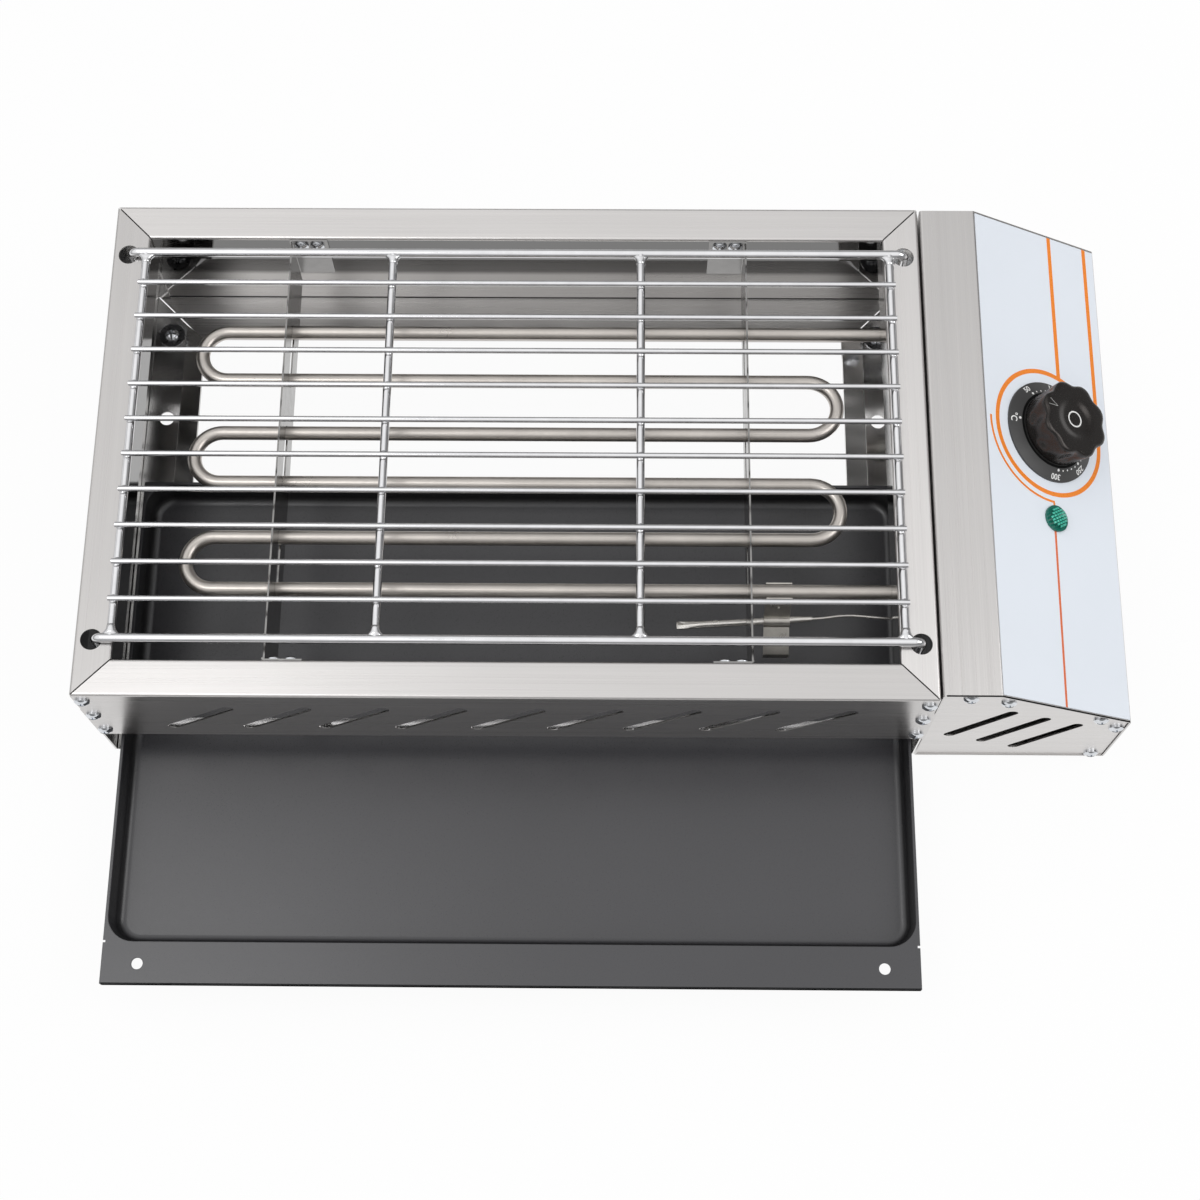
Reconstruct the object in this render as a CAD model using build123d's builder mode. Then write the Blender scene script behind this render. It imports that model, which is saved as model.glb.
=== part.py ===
"""Table-top electric grill with a wire grate, a tubular element, a drip tray and a side control box.

Millimetres, +Z up, the front of the grill towards -Y. The origin is on the table, at the middle of the
grill's outline with the drip tray pulled out.
"""
import os
from math import atan2, cos, degrees, hypot, radians, sin, sqrt

from build123d import *

os.makedirs("parts", exist_ok=True)

# Sheet metal
sheet = 1.0
bend = 1.6  # outside radius of a fold
mitre_gap = 0.7
round_gap = 0.3  # left between a round piece and what it rests on
hole_clearance = 0.15  # radial, round a screw

# Body of four folded panels
body_length = 468.0
body_depth = 300.0
body_height = 110.0
front_height = 75.0
front_flange = 10.0
rim_width = 21.0
lip_depth = 24.0
corner_flange = 8.4
runner_flat = 21.0
runner_reach = 14.0
runner_rise = 9.0
rear_base_flange = 31.0
base_hole = 9.0
base_hole_inset = 13.0
base_hole_set_in = 86.0  # from the front and the rear

# Slanted vents of the front and rear panels
vent_count = 9
vent_margin = 63.2  # from the body's ends to the middle of the outer vents
vent_length = 56.0
vent_width = 7.2
vent_angle = 43.0
vent_drop = 40.0  # from the rim to the middle of a vent

# Screws and nuts
screw_thread = 3.8
screw_head = 8.4
screw_head_height = 2.9
head_side = 0.35  # straight part of a head's height
screw_length = 7.0
cross_length = 4.6
cross_width = 1.0
cross_depth = 1.3
nut_width = 7.0
nut_height = 3.0
corner_screw_inset = 5.0
corner_screw_drops = (9.5, 35.5, 63.5)

# Feet
foot_height = 12.0
foot_diameter = 20.0
foot_waist = 17.0
foot_inset_x = 11.8
foot_inset_y = 28.6
foot_screw_length = 10.0
washer_diameter = 16.0
washer_thickness = 0.8

# Wire grate
bar_diameter = 5.2
rod_diameter = 4.8
wire_diameter = 3.2
weld_depth = 0.4
bar_inset = 32.0
rod_inset = 19.2
rod_count = 4
wire_count = 10
wire_overhang = 2.4
grate_shift = 1.2  # to the right, within the play of its holes
peg_inset = 10.2
peg_depth = 11.0
peg_hole = 12.0
peg_hole_inset = 9.3
peg_bend = 4.0

# Heating element
tube_diameter = 8.0
element_drop = 28.0
element_shift = 2.0
pair_pitch = 31.0
pair_step = 33.7
element_left = 47.0
element_right = 43.5
bushing_thread = 14.0
bushing_flange = 19.0
bushing_flange_thickness = 3.0
bushing_nut_width = 19.0
bushing_nut_height = 5.0
tube_tail = 3.0  # past the nut
insulator_diameter = 9.0
insulator_length = 7.0
pin_diameter = 3.0
pin_length = 12.0
fit_gap = 0.05  # radial, for pieces that turn or are pressed together

# Strips that carry the element
support_inset = 102.0  # from the body's left end
support_inset_right = 99.6
support_top_drop = 6.0
support_height = 41.0
support_tab = 22.0
support_tab_top_drop = 1.2
support_tab_height = 37.0
support_clearance = 0.3
support_screw_drop = 6.2
support_screw_spots = (6.4, 15.6)

# Sensor of the thermostat
bulb_diameter = 4.2
bulb_start = 140.0  # from the body's right end
bulb_end = 63.0
bulb_forward = 12.6  # in front of the element's front run
bulb_drop = 51.0
bulb_slant = 4.7
bulb_tip = 13.0
bulb_tip_thickness = 1.8
bulb_neck = 10.0
clip_width = 14.6
clip_start = 90.5
clip_sheet = 0.8
clip_clearance = 0.8
clip_grip = 1.5  # how far the hook rises past the middle of the tube
clip_lead = 16.0
clip_end_lip = 6.0
clip_angle = 30.0
capillary_diameter = 1.5
capillary_lead = 6.0
capillary_wave = (20.0, 2.4)
capillary_curve = 60.0
grommet_hole = 8.0
grommet_flange = 12.0
grommet_flange_thickness = 1.5

# Drip tray
tray_side_gap = 7.5
tray_shift = 2.3  # to the right, within the play of its runners
tray_length = 300.0
tray_pull = 140.5  # how far it stands out in front of the body
tray_sheet = 1.0
tray_depth = 18.0
tray_front_flange = 23.5
tray_rim = 1.6
tray_corner = 15.0
tray_draft = 8.0
tray_floor_radius = 5.0
tray_hem = 5.0
tray_hole = 6.4
tray_hole_side = 20.0
tray_hole_inset = 11.2
tray_notch = 1.4
tray_runner_gap = 0.2

# Control box
box_gap = 1.0
box_width = 111.0
box_flat = 31.3
box_proud = 1.5  # above the body's rim
box_inset = 2.0
box_below = 5.0  # under the body's base
plate_recess = 0.8  # of the end plates, within the cover's edges
plate_gap = 0.4
slope_drop = 47.3
box_rim = 11.0
box_foot_flange = 14.0
plate_screw_inset = 5.8
box_vent_count = 3
box_vent_length = 57.0
box_vent_width = 6.8
box_vent_angle = 56.5
box_vent_start = (28.5, 52.5)  # from the box's left side and from the body's rim
box_vent_step = (20.2, 11.5)
spacer_diameter = 12.0
fixing_inset = 32.0
fixing_drops = (70.0, 96.0)
fixing_length = 9.0

# Fascia on the slope: places along the slope from its ridge, and to the rear from the body's middle
label_thickness = 0.3
label_margin = 1.4
label_edge = 0.9  # along the ridge and the foot of the slope
dial_along = 46.5
dial_back = 17.3
dial_diameter = 61.0
dial_height = 3.6
dial_edge = 1.2
dial_wall = 1.2
dial_hole = 16.0
knob_diameter = 46.0
knob_collar = 43.0
knob_collar_height = 4.0
knob_height = 18.4
knob_gap = 0.7
knob_flutes = 8
knob_flute_radius = 11.0
knob_flute_depth = 2.2
knob_edge = 1.2
knob_dimple = 16.0
knob_dimple_depth = 0.8
shaft_diameter = 6.0
shaft_in_knob = 14.0
shaft_in_body = 12.0
shaft_hole = 10.0
thermostat_size = (34.0, 40.0, 26.0)
thermostat_screw_spread = 28.0
thermostat_screw_thread = 3.0
thermostat_screw_head = 5.6
thermostat_screw_head_height = 1.4
thermostat_screw_length = 6.0
lamp_along = 47.0
lamp_back = -35.8
lamp_diameter = 15.6
lamp_flange = 1.4
lamp_dome = 3.6
lamp_body_diameter = 11.8
lamp_body_length = 24.0
lamp_clip_diameter = 18.0
lamp_clip_thickness = 1.2
blade_width = 6.3
blade_thickness = 0.8
blade_length = 8.0
blade_spread = 20.0
lamp_blade_spread = 7.0
lamp_blade_width = 4.0

# Supply side
gland_reach = 12.0
gland_bore = 9.0
gland_thread = 16.0
gland_flange = 22.0
gland_flange_thickness = 4.0
gland_tip = 15.0
gland_inside = 10.0
gland_nut_width = 22.0
gland_nut_height = 5.0
gland_place = (52.0, 44.0)  # from the box's left side and from the body's base
block_size = (42.0, 20.0, 16.0)
block_place = (50.0, 54.0)  # from the box's left side and from the body's rear
block_hole = 3.4
block_wells = 4
block_well_pitch = 8.4
block_row_spread = 10.0
block_well = 4.4
block_well_depth = 8.0
wire_gauge = 2.6
wire_bend = 7.0
earth_place = (30.0, 95.0)
earth_stud_diameter = 4.0
earth_stud_height = 14.0

# Places that follow from the sizes
total_length = body_length + box_gap + box_width
x_left = -total_length / 2
x_right = x_left + body_length
x_mid = x_left + body_length / 2
y_front = (tray_pull - body_depth + box_inset + plate_recess - gland_reach) / 2
y_rear = y_front + body_depth
y_mid = y_front + body_depth / 2
z_base = foot_height
z_top = z_base + body_height
z_box = z_base - box_below
z_element = z_top - element_drop
fold_relief = bend + 0.4

box_x = x_right + box_gap
box_end = box_x + box_width
box_front = y_front + box_inset
box_rear = y_rear - box_inset
plate_front = box_front + plate_recess
plate_rear = box_rear - plate_recess
plate_inset = sheet + plate_gap
bar_spread = body_depth - 2 * bar_inset
rod_span = body_length - 2 * rod_inset
peg_span = body_length - 2 * peg_inset
grate_mid = x_mid + grate_shift
tray_width = body_length - 2 * tray_side_gap
tray_mid = x_mid + tray_shift
box_top = z_top + box_proud
slope_run = box_width - box_flat
slope_length = hypot(slope_run, slope_drop)
slope_tilt = atan2(slope_drop, slope_run)
dial_place = (dial_along, body_depth / 2 + dial_back)
lamp_place = (lamp_along, body_depth / 2 + lamp_back)
fascia = Plane(
    origin=(box_x + box_flat, y_front, box_top),
    x_dir=(cos(slope_tilt), 0, -sin(slope_tilt)),
    z_dir=(sin(slope_tilt), 0, cos(slope_tilt)),
)


def folded(plane, points, side):
    """Section of a folded sheet whose outer face follows the points."""
    with BuildSketch(plane) as section:
        with BuildLine():
            FilletPolyline(*points, radius=bend)
            offset(amount=sheet, side=side)
        make_face()
    return section.sketch


def mitre(height, corner, across, inward, reach):
    """Half of a corner square, cut off along the mitre seam. Inward runs into the panel that is cut."""
    start = Vector(*corner)
    across = Vector(*across)
    inward = Vector(*inward)
    seam = mitre_gap / sqrt(2)
    with BuildSketch(Plane.XY.offset(height)) as wedge:
        with BuildLine():
            Polyline(
                start + inward * seam,
                start + across * reach + inward * (reach + seam),
                start + across * reach - inward * reach,
                start - inward * reach,
                close=True,
            )
        make_face()
    return wedge.sketch


def pan_screw(length, thread=screw_thread, head=screw_head, height=screw_head_height):
    """Pan head screw with a cross recess, seated at the origin with its head up."""
    with BuildPart() as screw:
        with BuildSketch(Plane.XZ):
            with BuildLine():
                outline = Polyline(
                    (0, height),
                    (0, -length),
                    (thread / 2, -length),
                    (thread / 2, 0),
                    (head / 2, 0),
                    (head / 2, height * head_side),
                )
                TangentArc(outline @ 0, outline @ 1, tangent=(1, 0))
            make_face()
        revolve(axis=Axis.Z)
        with BuildSketch(Plane.XY.offset(height)):
            Rectangle(cross_length, cross_width)
            Rectangle(cross_width, cross_length)
        extrude(amount=-cross_depth, mode=Mode.SUBTRACT)
    return screw.part


def hex_nut(width, height, bore):
    """Hexagon nut that stands on the origin."""
    with BuildPart() as nut:
        with BuildSketch():
            RegularPolygon(width / 2, 6, major_radius=False)
            Circle(bore / 2, mode=Mode.SUBTRACT)
        extrude(amount=height)
    return nut.part


def write(name, shape):
    """Labels a finished piece and writes its file."""
    shape.label = name
    export_step(shape, f"parts/{name}.step")


# Corner screws: seats on the front and rear faces, near both ends
corner_screw_spots = []
for drop in corner_screw_drops:
    for x in (x_left + corner_screw_inset, x_right - corner_screw_inset):
        corner_screw_spots.append((x, z_top - drop))
front_seats = [Plane((x, y_front, z), x_dir=(1, 0, 0), z_dir=(0, -1, 0)) for x, z in corner_screw_spots]
rear_seats = [Plane((x, y_rear, z), x_dir=(1, 0, 0), z_dir=(0, 1, 0)) for x, z in corner_screw_spots]
screw_hole = screw_thread + 2 * hole_clearance

# Feet, grate pegs and spare base holes of one end
foot_ys = (y_front + foot_inset_y, y_rear - foot_inset_y)
peg_ys = (y_front + bar_inset, y_rear - bar_inset)
base_hole_ys = (y_front + base_hole_set_in, y_rear - base_hole_set_in)

# Left end panel: rim and lip on top, runner for the tray at the base, flanges for the corner screws
with BuildPart() as left_end_panel:
    end_points = [
        (x_left + rim_width, z_top - lip_depth),
        (x_left + rim_width, z_top),
        (x_left, z_top),
        (x_left, z_base),
        (x_left + runner_flat, z_base),
        (x_left + runner_flat + runner_reach, z_base + runner_rise),
    ]
    end_section = folded(Plane.XZ.offset(sheet - y_rear), end_points, Side.LEFT)
    extrude(end_section, amount=body_depth - 2 * sheet)
    for corner_y, inward in ((y_front, (0, 1)), (y_rear, (0, -1))):
        seam = mitre(z_top, (x_left, corner_y), (1, 0), inward, rim_width + bend)
        extrude(seam, amount=-lip_depth - sheet, mode=Mode.SUBTRACT)
    runner_seam = mitre(z_base, (x_left, y_rear), (1, 0), (0, -1), runner_flat + runner_reach + bend)
    extrude(runner_seam, amount=runner_rise + 2 * sheet, mode=Mode.SUBTRACT)
    flange_x = x_left + corner_flange / 2
    with BuildSketch(Plane.XY.offset(z_top - fold_relief)):
        with Locations((flange_x, y_front + 1.5 * sheet)):
            Rectangle(corner_flange, sheet)
    extrude(amount=2 * fold_relief - front_height)
    with BuildSketch(Plane.XY.offset(z_top - fold_relief)):
        with Locations((flange_x, y_rear - 1.5 * sheet)):
            Rectangle(corner_flange, sheet)
    extrude(amount=2 * fold_relief - body_height)
    with BuildSketch(Plane.XY.offset(z_top)):
        with Locations(*[(x_left + peg_hole_inset, y) for y in peg_ys]):
            Circle(peg_hole / 2)
    extrude(amount=-lip_depth / 2, mode=Mode.SUBTRACT)
    with BuildSketch(Plane.XY.offset(z_base)):
        with Locations(*[(x_left + foot_inset_x, y) for y in foot_ys]):
            Circle(screw_hole / 2)
        with Locations(*[(x_left + base_hole_inset, y) for y in base_hole_ys]):
            Circle(base_hole / 2)
    extrude(amount=2 * sheet, mode=Mode.SUBTRACT)
    with BuildSketch(Plane.XZ.offset(-y_rear)):
        with Locations(*[spot for spot in corner_screw_spots if spot[0] < x_mid]):
            Circle(screw_hole / 2)
    extrude(amount=body_depth, mode=Mode.SUBTRACT)
write("left_end_panel", left_end_panel.part)

# Runs of the element, from the rear to the front
element_span = 3 * pair_pitch + 2 * pair_step
run_ys = [y_mid + element_shift + element_span / 2]
for run in range(5):
    run_ys.append(run_ys[-1] - (pair_pitch if run % 2 == 0 else pair_step))
end_run_ys = (run_ys[0], run_ys[-1])
bulb_y = run_ys[-1] - bulb_forward
capillary_y = bulb_y + bulb_slant
capillary_z = z_top - bulb_drop
fixing_spots = []
for drop in fixing_drops:
    for y in (y_front + fixing_inset, y_rear - fixing_inset):
        fixing_spots.append((y, z_top - drop))

# Right end panel: the left one mirrored, with the holes that lead into the control box
with BuildPart() as right_end_panel:
    add(mirror(left_end_panel.part, about=Plane.YZ.offset(x_mid)))
    with BuildSketch(Plane.YZ.offset(x_right)):
        with Locations(*[(y, z_element) for y in end_run_ys]):
            Circle(bushing_thread / 2 + hole_clearance)
        with Locations((capillary_y, capillary_z)):
            Circle(grommet_hole / 2)
        with Locations(*fixing_spots):
            Circle(screw_hole / 2)
    extrude(amount=-2 * sheet, mode=Mode.SUBTRACT)
write("right_end_panel", right_end_panel.part)


def vents_at(face_y):
    """Slanted vents and corner screw holes of a long panel, as one sketch on its outer face."""
    with BuildSketch(Plane.XZ.offset(-face_y)) as cuts:
        with Locations((x_mid, z_top - vent_drop)):
            with GridLocations((body_length - 2 * vent_margin) / (vent_count - 1), 0, vent_count, 1):
                SlotOverall(vent_length, vent_width, rotation=vent_angle)
        with Locations(*corner_screw_spots):
            Circle(screw_hole / 2)
    return cuts.sketch


lip_screw_x = [x_left + support_inset + x for x in support_screw_spots]
lip_screw_x += [x_right - support_inset_right - x for x in support_screw_spots]
lip_screw_z = z_top - support_screw_drop

# Front panel: stops above the drip tray, with a flange that turns in at its foot
with BuildPart() as front_panel:
    front_points = [
        (y_front + rim_width, z_top - lip_depth),
        (y_front + rim_width, z_top),
        (y_front, z_top),
        (y_front, z_top - front_height),
        (y_front + front_flange, z_top - front_height),
    ]
    front_section = folded(Plane.YZ.offset(x_left), front_points, Side.LEFT)
    extrude(front_section, amount=body_length)
    for corner_x, inward in ((x_left, (1, 0)), (x_right, (-1, 0))):
        seam = mitre(z_top, (corner_x, y_front), (0, 1), inward, rim_width + bend)
        extrude(seam, amount=-lip_depth - sheet, mode=Mode.SUBTRACT)
    with BuildSketch(Plane.XY.offset(z_top - front_height)):
        with Locations(*[(x, y_front + sheet + front_flange / 2) for x in (x_left, x_right)]):
            Rectangle(2 * (corner_flange + round_gap), front_flange)
    extrude(amount=fold_relief, mode=Mode.SUBTRACT)
    extrude(vents_at(y_front), amount=-2 * sheet, mode=Mode.SUBTRACT)
    with BuildSketch(Plane.XZ.offset(-y_front - rim_width)):
        with Locations(*[(x, lip_screw_z) for x in lip_screw_x]):
            Circle(screw_hole / 2)
    extrude(amount=2 * sheet, mode=Mode.SUBTRACT)
write("front_panel", front_panel.part)

# Rear panel: full height, with a flange under the tray
with BuildPart() as rear_panel:
    rear_points = [
        (y_rear - rim_width, z_top - lip_depth),
        (y_rear - rim_width, z_top),
        (y_rear, z_top),
        (y_rear, z_base),
        (y_rear - rear_base_flange, z_base),
    ]
    rear_section = folded(Plane.YZ.offset(x_left), rear_points, Side.RIGHT)
    extrude(rear_section, amount=body_length)
    for corner_x, inward in ((x_left, (1, 0)), (x_right, (-1, 0))):
        seam = mitre(z_top, (corner_x, y_rear), (0, -1), inward, rim_width + bend)
        extrude(seam, amount=-lip_depth - sheet, mode=Mode.SUBTRACT)
        base_seam = mitre(z_base, (corner_x, y_rear), (0, -1), inward, rear_base_flange + bend)
        extrude(base_seam, amount=fold_relief, mode=Mode.SUBTRACT)
    extrude(vents_at(y_rear), amount=2 * sheet, mode=Mode.SUBTRACT)
    with BuildSketch(Plane.XZ.offset(rim_width - y_rear)):
        with Locations(*[(x, lip_screw_z) for x in lip_screw_x]):
            Circle(screw_hole / 2)
    extrude(amount=-2 * sheet, mode=Mode.SUBTRACT)
write("rear_panel", rear_panel.part)

# Corner screws
sheet_screw = pan_screw(screw_length)
with BuildPart() as front_panel_screws:
    with Locations(*front_seats):
        add(sheet_screw)
write("front_panel_screws", front_panel_screws.part)

with BuildPart() as rear_panel_screws:
    with Locations(*rear_seats):
        add(sheet_screw)
write("rear_panel_screws", rear_panel_screws.part)

# Rubber feet with their washers and screws
foot_spots = []
for x in (x_left + foot_inset_x, x_right - foot_inset_x):
    for y in foot_ys:
        foot_spots.append((x, y))

with BuildPart() as foot:
    with BuildSketch():
        Circle(foot_waist / 2)
    with BuildSketch(Plane.XY.offset(foot_height)):
        Circle(foot_diameter / 2)
    loft()
    with BuildSketch(Plane.XY.offset(foot_height)):
        Circle(screw_hole / 2)
    extrude(amount=-foot_screw_length, mode=Mode.SUBTRACT)
with BuildPart() as rubber_feet:
    with Locations(*foot_spots):
        add(foot.part)
write("rubber_feet", rubber_feet.part)

washer_seat = z_base + sheet
with BuildPart() as foot_washers:
    with BuildSketch(Plane.XY.offset(washer_seat)):
        with Locations(*foot_spots):
            Circle(washer_diameter / 2)
            Circle(screw_hole / 2, mode=Mode.SUBTRACT)
    extrude(amount=washer_thickness)
write("foot_washers", foot_washers.part)

foot_screw = pan_screw(foot_screw_length)
foot_seats = [(x, y, washer_seat + washer_thickness) for x, y in foot_spots]
with BuildPart() as foot_screws:
    with Locations(*foot_seats):
        add(foot_screw)
write("foot_screws", foot_screws.part)

# Wire grate: two bars with bent pegs, four rods between them and thin wires welded on top
z_bar = z_top + round_gap + bar_diameter / 2
z_wire = z_bar + rod_diameter / 2 + wire_diameter / 2 - weld_depth
with BuildPart() as cooking_grate:
    for y in peg_ys:
        with BuildLine(Plane.XZ.offset(-y)) as bar_path:
            FilletPolyline(
                (grate_mid - peg_span / 2, z_top - peg_depth),
                (grate_mid - peg_span / 2, z_bar),
                (grate_mid + peg_span / 2, z_bar),
                (grate_mid + peg_span / 2, z_top - peg_depth),
                radius=peg_bend,
            )
        with BuildSketch(Plane((grate_mid - peg_span / 2, y, z_top - peg_depth))):
            Circle(bar_diameter / 2)
        sweep(path=bar_path.line)
    with BuildSketch(Plane.XZ.offset(-peg_ys[1])):
        with Locations((grate_mid, z_bar)):
            with GridLocations(rod_span / (rod_count - 1), 0, rod_count, 1):
                Circle(rod_diameter / 2)
    extrude(amount=bar_spread)
    with BuildSketch(Plane.YZ.offset(grate_mid - rod_span / 2 - wire_overhang)):
        with Locations((y_mid, z_wire)):
            with GridLocations(bar_spread / (wire_count + 1), 0, wire_count, 1):
                Circle(wire_diameter / 2)
    extrude(amount=rod_span + 2 * wire_overhang)
write("cooking_grate", cooking_grate.part)

# Heating element: six runs joined by half circles, both ends through the right end panel
bushing_seat = x_right - sheet
nut_seat = box_x + sheet
tube_end = nut_seat + bushing_nut_height + tube_tail
left_bend_x = x_left + element_left + tube_diameter / 2 + pair_pitch / 2
right_bend_x = x_right - element_right - tube_diameter / 2 - pair_step / 2
with BuildPart() as heating_element:
    with BuildLine(Plane.XY.offset(z_element)) as tube_path:
        run_line = Line((tube_end, run_ys[0]), (left_bend_x, run_ys[0]))
        for run in range(1, 6):
            if run % 2 == 1:
                half_turn = JernArc(run_line @ 1, (-1, 0), pair_pitch / 2, 180)
                next_x = tube_end if run == 5 else right_bend_x
            else:
                half_turn = JernArc(run_line @ 1, (1, 0), pair_step / 2, -180)
                next_x = left_bend_x
            run_line = Line(half_turn @ 1, (next_x, run_ys[run]))
    with BuildSketch(Plane.YZ.offset(tube_end)):
        with Locations((run_ys[0], z_element)):
            Circle(tube_diameter / 2)
    sweep(path=tube_path.line)
write("heating_element", heating_element.part)

# Bushings, nuts, insulators and pins at the element's two ends
end_spots = [(y, z_element) for y in end_run_ys]
with BuildPart() as element_bushings:
    with BuildSketch(Plane.YZ.offset(bushing_seat)):
        with Locations(*end_spots):
            Circle(bushing_thread / 2)
            Circle(tube_diameter / 2 + fit_gap, mode=Mode.SUBTRACT)
    extrude(amount=sheet + box_gap + sheet + bushing_nut_height)
    with BuildSketch(Plane.YZ.offset(bushing_seat)):
        with Locations(*end_spots):
            Circle(bushing_flange / 2)
            Circle(tube_diameter / 2 + fit_gap, mode=Mode.SUBTRACT)
    extrude(amount=-bushing_flange_thickness)
write("element_bushings", element_bushings.part)

with BuildPart() as element_nuts:
    with BuildSketch(Plane.YZ.offset(nut_seat)):
        with Locations(*end_spots):
            RegularPolygon(bushing_nut_width / 2, 6, major_radius=False)
            Circle(bushing_thread / 2 + fit_gap, mode=Mode.SUBTRACT)
    extrude(amount=bushing_nut_height)
write("element_nuts", element_nuts.part)

with BuildPart() as element_insulators:
    with BuildSketch(Plane.YZ.offset(tube_end)):
        with Locations(*end_spots):
            Circle(insulator_diameter / 2)
            Circle(pin_diameter / 2 + fit_gap, mode=Mode.SUBTRACT)
    extrude(amount=insulator_length)
write("element_insulators", element_insulators.part)

with BuildPart() as element_pins:
    with BuildSketch(Plane.YZ.offset(tube_end)):
        with Locations(*end_spots):
            Circle(pin_diameter / 2)
    extrude(amount=insulator_length + pin_length)
write("element_pins", element_pins.part)

# Slotted strips that hang between the lips and carry the element
y_lip_front = y_front + rim_width
y_lip_rear = y_rear - rim_width
pair_mids = [(run_ys[first] + run_ys[first + 1]) / 2 for first in (0, 2, 4)]
with BuildPart() as element_support_left:
    strip_x = x_left + support_inset
    strip_points = [
        (strip_x + support_tab, y_lip_front),
        (strip_x, y_lip_front),
        (strip_x, y_lip_rear),
        (strip_x + support_tab, y_lip_rear),
    ]
    tab_foot = z_top - support_tab_top_drop - support_tab_height
    strip_section = folded(Plane.XY.offset(tab_foot), strip_points, Side.RIGHT)
    extrude(strip_section, amount=support_tab_height)
    web_reach = y_lip_rear - y_lip_front - 2 * bend
    with BuildSketch(Plane.XY.offset(z_top)):
        with Locations((strip_x + bend / 2, y_mid)):
            Rectangle(bend + sheet, web_reach)
    extrude(amount=-support_top_drop, mode=Mode.SUBTRACT)
    with BuildSketch(Plane.XY.offset(z_top - support_top_drop - support_height)):
        with Locations((strip_x + sheet / 2, y_mid)):
            Rectangle(sheet, web_reach)
    extrude(amount=support_height)
    with BuildSketch(Plane.YZ.offset(strip_x)):
        with Locations(*[(y, z_element) for y in pair_mids]):
            slot_height = tube_diameter + 2 * support_clearance
            SlotOverall(pair_pitch + slot_height, slot_height)
    extrude(amount=2 * sheet, mode=Mode.SUBTRACT)
    with BuildSketch(Plane.XZ.offset(-y_lip_rear)):
        with Locations(*[(strip_x + x, lip_screw_z) for x in support_screw_spots]):
            Circle(screw_hole / 2)
    extrude(amount=y_lip_rear - y_lip_front, mode=Mode.SUBTRACT)
write("element_support_left", element_support_left.part)

with BuildPart() as element_support_right:
    support_mirror = x_mid + (support_inset - support_inset_right) / 2
    add(mirror(element_support_left.part, about=Plane.YZ.offset(support_mirror)))
write("element_support_right", element_support_right.part)

support_seats = []
support_nut_seats = []
for x in lip_screw_x:
    for lip_y, facing in ((y_lip_front, 1), (y_lip_rear, -1)):
        support_seats.append(
            Plane((x, lip_y + facing * sheet, lip_screw_z), x_dir=(1, 0, 0), z_dir=(0, facing, 0))
        )
        support_nut_seats.append(
            Plane((x, lip_y - facing * sheet, lip_screw_z), x_dir=(1, 0, 0), z_dir=(0, -facing, 0))
        )
nut = hex_nut(nut_width, nut_height, screw_thread + 2 * fit_gap)
with BuildPart() as support_screws:
    with Locations(*support_seats):
        add(sheet_screw)
write("support_screws", support_screws.part)

with BuildPart() as support_nuts:
    with Locations(*support_nut_seats):
        add(nut)
write("support_nuts", support_nuts.part)

# Sensor bulb: a thin rod with a pressed tip and a drawn neck, slanted a little
bulb_length = bulb_start - bulb_end
bulb_turn = degrees(atan2(bulb_slant, bulb_length))
bulb_origin = (x_right - bulb_start, bulb_y, capillary_z)
bulb_along = (cos(radians(bulb_turn)), sin(radians(bulb_turn)), 0)
bulb_plane = Plane(bulb_origin, x_dir=(0, 0, 1), z_dir=bulb_along)
with BuildPart() as sensor_bulb:
    with BuildSketch(bulb_plane.offset(bulb_tip)):
        Circle(bulb_diameter / 2)
    extrude(amount=bulb_length - bulb_tip - bulb_neck)
    with BuildSketch(bulb_plane.offset(bulb_tip)):
        Circle(bulb_diameter / 2)
    with BuildSketch(bulb_plane):
        Rectangle(bulb_tip_thickness, bulb_diameter)
    loft()
    with BuildSketch(bulb_plane.offset(bulb_length - bulb_neck)):
        Circle(bulb_diameter / 2)
    with BuildSketch(bulb_plane.offset(bulb_length)):
        Circle(capillary_diameter)
    loft()
write("sensor_bulb", sensor_bulb.part)

# Clip: springs round the front run from below, slopes down to the bulb, wraps it and ends in a lip
bulb_at_clip = bulb_y + bulb_slant * (bulb_start - clip_start + clip_width / 2) / bulb_length
hook_inner = tube_diameter / 2 + round_gap
hook_outer = hook_inner + clip_sheet
ring_inner = bulb_diameter / 2 + clip_clearance
ring_outer = ring_inner + clip_sheet
hook_centre = Vector(run_ys[-1], z_element)
ring_centre = Vector(bulb_at_clip, capillary_z)
clip_span = hook_centre - ring_centre
clip_slope = degrees(atan2(clip_span.Y, clip_span.X))
strap_start = hook_centre - Vector((hook_inner + clip_sheet / 2), 0).rotate(Axis.Z, clip_slope)
strap_end = ring_centre + Vector((ring_inner + clip_sheet / 2), 0).rotate(Axis.Z, clip_slope)
lead_start = ring_centre - Vector((ring_inner + clip_sheet / 2), 0).rotate(Axis.Z, clip_angle)
lead_end = lead_start - Vector(clip_lead, 0).rotate(Axis.Z, clip_angle)
with BuildPart() as bulb_clip:
    with BuildSketch(Plane.YZ.offset(x_right - clip_start)):
        with Locations((hook_centre.X, hook_centre.Y)):
            Circle(hook_outer)
        with Locations((ring_centre.X, ring_centre.Y)):
            Circle(ring_outer)
        with BuildLine():
            Line((strap_start.X, strap_start.Y), (strap_end.X, strap_end.Y))
        trace(line_width=clip_sheet)
        with BuildLine():
            Polyline(
                (lead_start.X, lead_start.Y),
                (lead_end.X, lead_end.Y),
                (lead_end.X, lead_end.Y - clip_end_lip),
            )
        trace(line_width=clip_sheet)
        with Locations((hook_centre.X, hook_centre.Y)):
            Circle(hook_inner, mode=Mode.SUBTRACT)
            with Locations((0, clip_grip + hook_outer / 2)):
                Rectangle(2 * hook_outer, hook_outer, mode=Mode.SUBTRACT)
        with Locations((ring_centre.X, ring_centre.Y)):
            Circle(ring_inner, mode=Mode.SUBTRACT)
    extrude(amount=clip_width)
write("bulb_clip", bulb_clip.part)

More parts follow.
